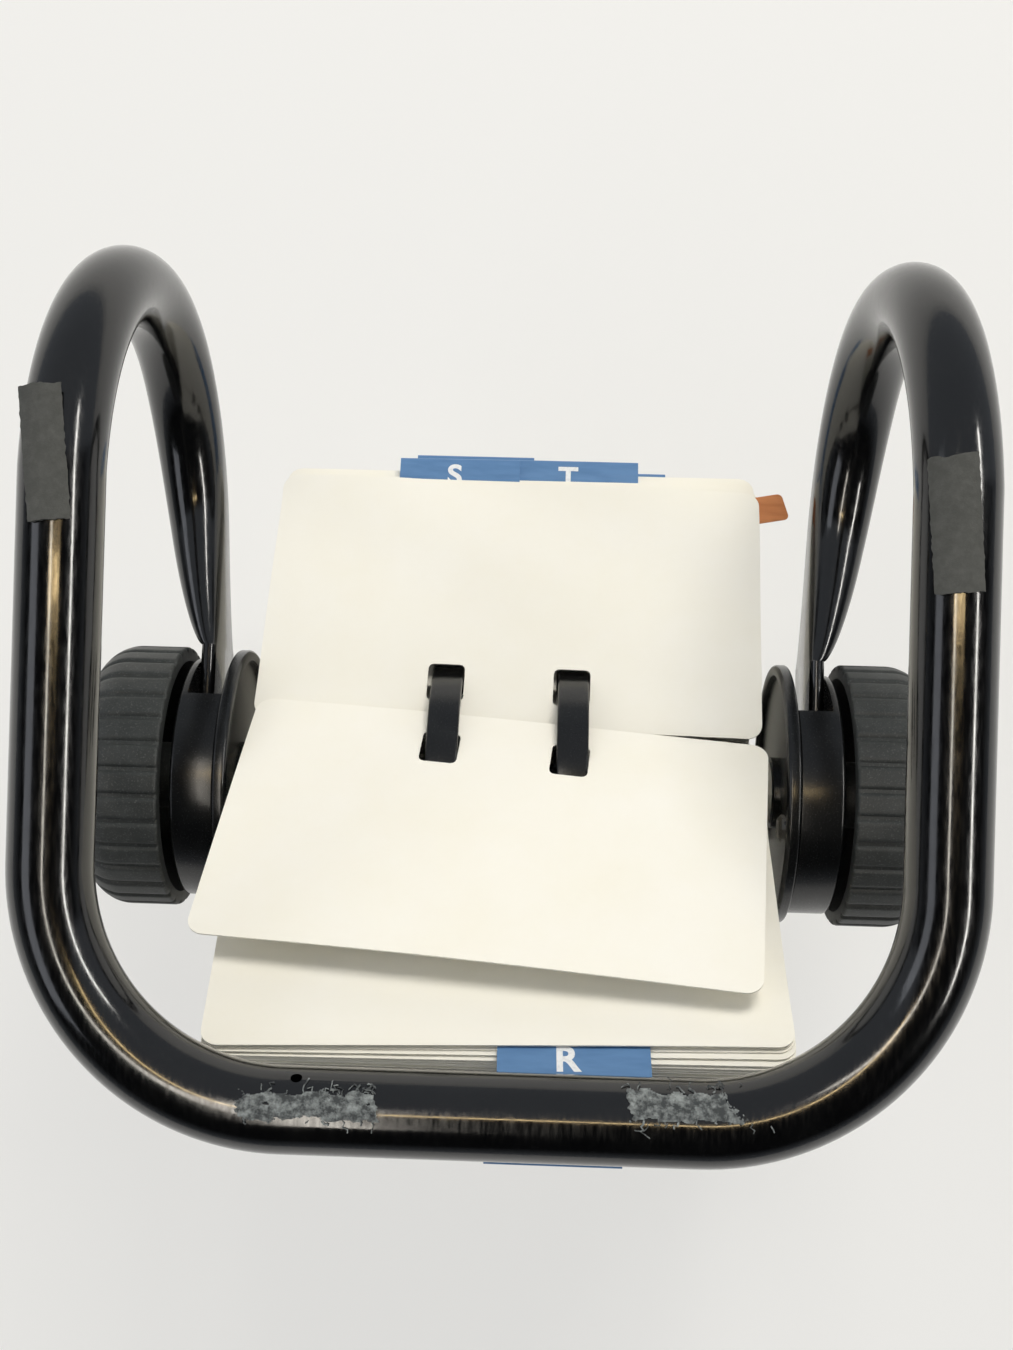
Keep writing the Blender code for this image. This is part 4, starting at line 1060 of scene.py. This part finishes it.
def make_guide(
    index, place, middle_mm, reach, letter, upright, letter_shift,
    replaced=True, down=4.4, low=-CARD_TONGUE,
):
    """A guide card. Place is anchor, direction, roll, slide and across, in degrees and mm."""
    anchor, direction, roll, slide, across = place
    where = card_place(anchor, direction, roll, slide * MM, across * MM)
    middle = middle_mm * MM
    half = 13.0 * MM
    top = CARD_REACH + reach * MM
    shape = bmesh.new()
    outline = card_outline(6, low < WINDOW_LOW, 8 * MM, low)
    add_sheet(shape, outline, where, COARSE_CELLS, None, 0.28 * MM)
    left, right, low = middle - half + 0.6 * MM, middle + half - 0.6 * MM, CARD_REACH - 0.2 * MM
    tongue = [(left, low), (right, low), (right, top - 0.7 * MM), (left, top - 0.7 * MM)]
    add_sheet(shape, tongue, where, COARSE_CELLS, None, 0.28 * MM)
    nodes_of = ([f"guide_card_{index}"], [f"guide_tab_{index}"]) if replaced else ([], [])
    add_piece(f"guide_sheet_{index}", shape, card_stock, "wheel", nodes_of[0], 40)
    make_sleeve(
        f"guide_sleeve_{index}", where, middle, half, top, CARD_REACH - 3 * MM, nodes_of[1]
    )
    # Seen from below: cards of the front pile show their +Z side, those of the back pile -Z.
    face = SLEEVE_GAP + SLEEVE_WALL / 2 + 0.01 * MM
    front = anchor > FAN_MIDDLE
    middle_along = top - down * MM
    flip = Matrix.Identity(4)
    if not front:
        flip = Matrix.Rotation(math.pi, 4, "Y")
    if not upright:
        flip = flip @ Matrix.Rotation(math.pi, 4, "Z")
    spot = Matrix.Translation(
        (middle + letter_shift * MM, middle_along, face if front else -face)
    )
    make_letter(f"letter_{index}", letter, where @ spot @ flip, "wheel", 6.9 * MM)


def fan_place(anchor, slide, across=0.0, roll=0.0):
    return anchor, card_direction(anchor), roll, slide, across


make_guide(1, fan_place(180.0, 3.2, 0.3), 12.6, 4.6, "T", True, -2.2, low=-5.0 * MM)
make_guide(2, fan_place(180.0 - FRONT_STEP, 2.4, 0.3), -10.2, 6.6, "N", True, -1.0)
make_guide(3, fan_place(180.0 - 2 * FRONT_STEP, 0.6, -0.5), 20.3, 5.0, "M", True, 0.0)
make_guide(4, fan_place(-67.5, 0.6, 0.3), 13.8, 4.6, "P", False, -1.2)
make_guide(7, (-71.2, -48.0, -1.7, -1.8, -0.6), 12.8, 6.0, "R", False, -1.2, False, 3.75)
make_guide(5, fan_place(-67.5 + 4 * BACK_STEP, 1.4, 0.8), 10.2, 5.2, "Q", False, 0.0)
make_guide(6, (188.0, 156.2, 0.4, 3.8, 0.3), -12.8, 5.85, "S", True, -1.1, False, low=SHORT_TONGUE)
print("guides done")

# %%
# The flag sticks out behind the front card and follows its warp.


def flag_outline():
    long, wide, round_end = 6.0 * MM, 3.3 * MM, 1.1 * MM
    points = []
    for x, y, start in ((1, 1, 0), (-1, 1, 90), (-1, -1, 180), (1, -1, 270)):
        centre = (x * (long - round_end), y * (wide - round_end))
        points += arc(centre, round_end, start, start + 90, 6)
    turn = math.radians(14)
    middle = (50.6 * MM, 44.6 * MM)
    return [
        (
            middle[0] + x * math.cos(turn) - y * math.sin(turn),
            middle[1] + x * math.sin(turn) + y * math.cos(turn),
        )
        for x, y in points
    ]


def flag_warp(x, y):
    spot = front_warp(min(x, CARD_WIDTH / 2), y)
    past = max(0.0, x - CARD_WIDTH / 2)
    return Vector((x, y, spot.z - 0.3 * MM - 0.02 * past))


shape = bmesh.new()
add_sheet(
    shape, flag_outline(), FRONT_PLACE,
    (steps_between(44 * MM, 60 * MM, 2 * MM), steps_between(38 * MM, 50 * MM, 2 * MM)),
    flag_warp, 0.2 * MM,
)
add_piece("index_flag_slip", shape, orange_tab, "front_card", ["index_flag"], 40)

# %% [markdown]
# ## Pads and dried adhesive
#
# Two worn rubber pads are left, and two patches of torn foam where others came off. Both
# follow the underside of the tube.

# %%
# A pad: a strip whose ends are torn. It lies on the tube and droops past its outer side.


def pad_height(off_leg):
    """The height of the tube's underside beside the leg's middle line, and a straight run on."""
    reach = 5.2 * MM
    held = max(-reach, min(reach, off_leg))
    under = TUBE_CENTRE_HEIGHT - math.sqrt(TUBE_RADIUS**2 - held**2)
    slope = held / math.sqrt(TUBE_RADIUS**2 - held**2)
    return under + slope * (off_leg - held) * 0.8


def make_pad(name, node, corners, leg_x, seed):
    """Corners go round the pad: front outer, front inner, back inner, back outer, in mm."""
    across_steps, along_steps = 14, 40
    shape = bmesh.new()
    grid = []
    for along in range(along_steps + 1):
        t = along / along_steps
        row = []
        for across in range(across_steps + 1):
            r = across / across_steps
            start = Vector(corners[0]).lerp(Vector(corners[1]), r)
            end = Vector(corners[3]).lerp(Vector(corners[2]), r)
            ragged = 0.55 * noise.fractal(Vector((r * 4, seed, t)), 1.0, 2.0, 4)
            edge = 0.25 * noise.noise(Vector((seed, t * 22, r * 3)))
            spot = start.lerp(end, t)
            spot.y += ragged * abs(2 * t - 1) ** 3
            spot.x += edge * abs(2 * r - 1) ** 3
            flat = spot * MM
            height = pad_height(flat.x - leg_x)
            sag = 0.12 * noise.noise(Vector((flat.x * 180, flat.y * 180, seed))) * MM
            row.append(shape.verts.new((flat.x, flat.y, height - 0.5 * MM + sag)))
        grid.append(row)
    for row, after in zip(grid, grid[1:]):
        for index in range(across_steps):
            shape.faces.new((row[index], row[index + 1], after[index + 1], after[index]))
    thicken(shape, 1.0 * MM)
    for vertex in shape.verts:
        vertex.co.z = max(vertex.co.z, 0.05 * MM)
    add_piece(name, shape, rubber, "frame", [node], 50)


make_pad(
    "left_pad_strip", "left_foot_pad",
    ((-78.4, -52.7), (-71.2, -53.2), (-69.3, -31.7), (-75.7, -30.9)), -LEG_OUT, 3.0,
)
make_pad(
    "right_pad_strip", "right_foot_pad",
    ((73.9, -45.7), (66.9, -44.6), (68.3, -23.3), (75.5, -23.8)), LEG_OUT, 8.0,
)
print("pads done")

# %%
# Dried adhesive: a crust on the tube whose edge and holes follow a noise.


def make_residue(name, node, start, end, slant, seed):
    """A torn crust along the cross-bar between two places on X."""
    long_steps, round_steps = 150, 34
    crossbar_y = HUB.y + CROSSBAR_BEHIND_AXIS
    shape = bmesh.new()
    grid = []
    for along in range(long_steps + 1):
        t = along / long_steps
        row = []
        for step in range(round_steps + 1):
            r = step / round_steps
            x = (start + (end - start) * t) * MM
            y = (slant[0] + (slant[1] - slant[0]) * t + 4.6 * (r - 0.5)) * MM
            off = y - crossbar_y
            spot = Vector((x * 1000, y * 1000, seed))
            rough = noise.fractal(spot * Vector((0.8, 1.6, 1)), 1.0, 2.0, 4)
            crust = 0.08 + 0.2 * abs(rough) ** 1.5
            crust += 0.1 * noise.noise(spot * 4.5)
            border = min(t, 1 - t) * (end - start) / 1.3
            side = min(r, 1 - r) * 4.6 / 0.9
            holes = 0.5 + 0.9 * noise.fractal(spot * Vector((0.35, 0.8, 1)), 1.0, 2.0, 4)
            cover = min(border, side, 1.0) + holes - 0.55
            under = TUBE_CENTRE_HEIGHT - math.sqrt(max(TUBE_RADIUS**2 - off**2, 0))
            row.append((shape.verts.new((x, y, under - max(crust, 0.06) * MM)), cover, under))
        grid.append(row)
    for row, after in zip(grid, grid[1:]):
        for index in range(round_steps):
            cell = (row[index], row[index + 1], after[index + 1], after[index])
            if sum(corner[1] for corner in cell) / 4 > 0.36:
                shape.faces.new([corner[0] for corner in cell])
    jitter = random.Random(int(seed * 10))
    for _ in range(30):
        x = jitter.uniform(start, end)
        t = (x - start) / (end - start)
        side = jitter.choice((-1, -1, 1))
        y = slant[0] + (slant[1] - slant[0]) * t + side * jitter.uniform(1.2, 2.3)
        heading = jitter.uniform(-1.2, 1.2) - (math.pi / 2 if side < 0 else -math.pi / 2)
        long, wide = jitter.uniform(0.6, 2.4), jitter.uniform(0.05, 0.16)
        pairs = []
        for step in range(5):
            share = step / 4
            bend = heading + jitter.uniform(-0.5, 0.5)
            for hand in (-1, 1):
                px = (x + math.cos(bend) * long * share - hand * math.sin(bend) * wide) * MM
                py = (y + math.sin(bend) * long * share + hand * math.cos(bend) * wide) * MM
                off = max(-6.6 * MM, min(6.6 * MM, py - crossbar_y))
                under = TUBE_CENTRE_HEIGHT - math.sqrt(TUBE_RADIUS**2 - off**2)
                lifted = (0.12 + 0.3 * share * jitter.random()) * MM
                pairs.append(shape.verts.new((px, py, under - lifted)))
        for step in range(4):
            one = 2 * step
            shape.faces.new((pairs[one], pairs[one + 1], pairs[one + 3], pairs[one + 2]))
    loose = [vertex for vertex in shape.verts if not vertex.link_faces]
    bmesh.ops.delete(shape, geom=loose, context="VERTS")
    thicken(shape, 0.16 * MM)
    for vertex in shape.verts:
        vertex.co.z = max(vertex.co.z, 0.3 * MM)
    add_piece(name, shape, adhesive, "frame", [node], 50)


make_residue("left_residue_crust", "left_pad_residue", -40.3, -17.2, (60.9, 60.3), 1.5)
make_residue("right_residue_crust", "right_pad_residue", 21.9, 44.2, (59.1, 58.5), 6.5)
print("residue done")

# %%
# A small hole in the tube near the left corner, drilled for a stud that is not there.
HOLE_PLACE = Vector((-31.0 * MM, 56.7 * MM, 4.5 * MM))
HOLE_RADIUS = 0.95 * MM


def make_hole():
    shape = bmesh.new()
    bmesh.ops.create_cone(
        shape, cap_ends=True, segments=40, radius1=HOLE_RADIUS, radius2=HOLE_RADIUS, depth=6 * MM
    )
    outward = Vector((0, HOLE_PLACE.y - HUB.y - CROSSBAR_BEHIND_AXIS, -TUBE_RADIUS * 0.6))
    turn = outward.to_track_quat("Z", "Y").to_matrix()
    bmesh.ops.rotate(shape, matrix=turn, verts=shape.verts)
    bmesh.ops.translate(shape, vec=HOLE_PLACE, verts=shape.verts)
    mesh = bpy.data.meshes.new("hole")
    shape.to_mesh(mesh)
    shape.free()
    cut(stand, [bpy.data.objects.new("hole", mesh)])


make_hole()
print("stand:", len(stand.data.polygons), "faces with its hole")

# %% [markdown]
# ## Stage, lamps and camera
#
# The object rests on a desk in use, but the picture shows it turned over on a pale table. So
# the pale plane lies just above it, and is seen from below only. A second plane at desk height
# is seen from above only.

# %%
# A stage plane shows one face to the camera and lets every other ray through.


def make_plane(name, height, tint, seen_from_below):
    material = bpy.data.materials.new(name)
    material.use_nodes = True
    tree = material.node_tree
    tree.nodes.clear()
    path = add(tree, "ShaderNodeLightPath")
    where = add(tree, "ShaderNodeNewGeometry")
    lit = add(tree, "ShaderNodeBsdfDiffuse", {"Color": linear(tint)})
    glow = add(tree, "ShaderNodeEmission", {"Color": linear(tint), "Strength": 1.0})
    seen = add(
        tree, "ShaderNodeMath",
        {0: path.outputs["Is Camera Ray"], 1: path.outputs["Is Glossy Ray"]}, operation="MAXIMUM",
    )
    share = add(tree, "ShaderNodeMath", {0: seen.outputs[0], 1: 0.62}, operation="MULTIPLY")
    surface = add(
        tree, "ShaderNodeMixShader", {0: share.outputs[0], 1: lit.outputs[0], 2: glow.outputs[0]}
    )
    clear = add(tree, "ShaderNodeBsdfTransparent")
    if seen_from_below:
        shadow = path.outputs["Is Shadow Ray"]
        visible = add(tree, "ShaderNodeMath", {0: 1.0, 1: shadow}, operation="SUBTRACT").outputs[0]
    else:
        visible = path.outputs["Is Camera Ray"]
    backface = where.outputs["Backfacing"]
    front = add(tree, "ShaderNodeMath", {0: 1.0, 1: backface}, operation="SUBTRACT")
    both = add(tree, "ShaderNodeMath", {0: visible, 1: front}, operation="MULTIPLY")
    chosen = add(tree, "ShaderNodeMixShader", {0: both, 1: clear, 2: surface})
    add(tree, "ShaderNodeOutputMaterial", {"Surface": chosen.outputs[0]})
    mesh = bpy.data.meshes.new(name)
    half = 2.5
    turns = ((-half, -half), (half, -half), (half, half), (-half, half))
    corners = [(x, y, height) for x, y in turns]
    mesh.from_pydata(corners, [], [(3, 2, 1, 0) if seen_from_below else (0, 1, 2, 3)])
    mesh.materials.append(material)
    plane = bpy.data.objects.new(name, mesh)
    bpy.context.scene.collection.objects.link(plane)
    return plane


make_plane("table_above", 0.1525, "F6F5F2", True)
make_plane("desk_below", -0.0005, "E9E7E2", False)


def make_lamp(name, place_at, aim, size, power, tint="FFFFFF", reach="both"):
    """A rectangular lamp that looks at a point; the second size runs along Y."""
    data = bpy.data.lights.new(name, "AREA")
    data.shape = "RECTANGLE"
    data.size, data.size_y = size
    data.energy = power
    data.color = linear(tint)[:3]
    lamp = bpy.data.objects.new(name, data)
    forward = (Vector(aim) - Vector(place_at)).normalized()
    right = forward.cross(Vector((0, 1, 0))).normalized()
    turn = Matrix((right, right.cross(forward), -forward)).transposed()
    lamp.matrix_world = Matrix.Translation(place_at) @ turn.to_4x4()
    lamp.visible_glossy = reach != "diffuse"
    lamp.visible_diffuse = reach != "glossy"
    bpy.context.scene.collection.objects.link(lamp)
    return lamp


MIDDLE = (0, 0, 0.07)
make_lamp("key_below", (0.25, -0.85, -0.7), MIDDLE, (0.6, 0.4), 8.4, "FFFBF2", "diffuse")
make_lamp("right_strip", (0.95, -0.1, -0.9), MIDDLE, (0.10, 1.3), 9.0, "FFFCF6", "glossy")
make_lamp("left_strip", (-0.16, 0.1, -0.95), MIDDLE, (0.07, 0.9), 2.4, "FFF8EC", "glossy")
make_lamp("warm_tube", (0.0, -0.09, -1.0), MIDDLE, (0.5, 0.035), 1.1, "FFDFA6", "glossy")
make_lamp("fill_below", (-0.8, 0.1, -0.6), MIDDLE, (0.35, 0.9), 1.6, "F2F6FF")
make_lamp("key_above", (-0.6, -0.7, 1.0), MIDDLE, (0.8, 0.8), 8, "FFF8EE")
make_lamp("fill_above", (0.8, 0.6, 0.7), MIDDLE, (0.8, 0.8), 3, "F2F6FF")

# The room is pale for diffuse light and for the camera. What a glossy surface sees below is a
# dim ceiling, so the enamel stays black between the lamps.
world = bpy.data.worlds.new("pale_room")
bpy.context.scene.world = world
world.use_nodes = True
sky = world.node_tree
background = sky.nodes["Background"]
direction = add(sky, "ShaderNodeTexCoord")
parts = add(sky, "ShaderNodeSeparateXYZ", {0: direction.outputs["Generated"]})
toward_front = add(
    sky, "ShaderNodeMapRange",
    {0: parts.outputs["Y"], 1: -0.13, 2: -0.2, 3: 0.02, 4: 0.6},
)
level = add(
    sky, "ShaderNodeMapRange",
    {0: parts.outputs["Z"], 1: -0.35, 2: 0.05, 3: 0.0, 4: 0.4},
)
dim = add(
    sky, "ShaderNodeMath", {0: toward_front.outputs[0], 1: level.outputs[0]}, operation="MAXIMUM"
)
path = add(sky, "ShaderNodeLightPath")
glossy = path.outputs["Is Glossy Ray"]
lit = add(sky, "ShaderNodeMix", {0: glossy, 2: 0.42, 3: dim})
strength = add(
    sky, "ShaderNodeMix", {0: path.outputs["Is Camera Ray"], 2: lit.outputs[0], 3: 1.0}
)
tint = add(sky, "ShaderNodeMix", {0: path.outputs["Is Glossy Ray"]}, data_type="RGBA")
tint.inputs[6].default_value = linear("F1F1F0")
tint.inputs[7].default_value = linear("D0D7E0")
sky.links.new(tint.outputs[2], background.inputs["Color"])
sky.links.new(strength.outputs[0], background.inputs["Strength"])

# The camera stands under the desk and looks up; its place comes from a fit to many edges.
camera_data = bpy.data.cameras.new("camera")
camera_data.lens = 42.667
camera_data.sensor_width = 36.0
camera_data.clip_start = 0.01
camera = bpy.data.objects.new("camera", camera_data)
bpy.context.scene.collection.objects.link(camera)
bpy.context.scene.camera = camera
roll, yaw, pitch = 0.0283, 0.026, -0.0036
view = Matrix.Rotation(roll, 3, "Z") @ Matrix.Rotation(yaw, 3, "Y")
view = view @ Matrix.Rotation(pitch, 3, "X")
turn = view.transposed() @ Matrix(((1, 0, 0), (0, -1, 0), (0, 0, -1)))
camera.matrix_world = Matrix.Translation(
    (7.557 * MM, HUB.y - 21.556 * MM, -251.515 * MM)
) @ turn.to_4x4()

bpy.context.scene.view_settings.view_transform = "Standard"
print("camera at", [round(v * 1000, 1) for v in camera.location], "mm")

# %%
print("pieces in place")
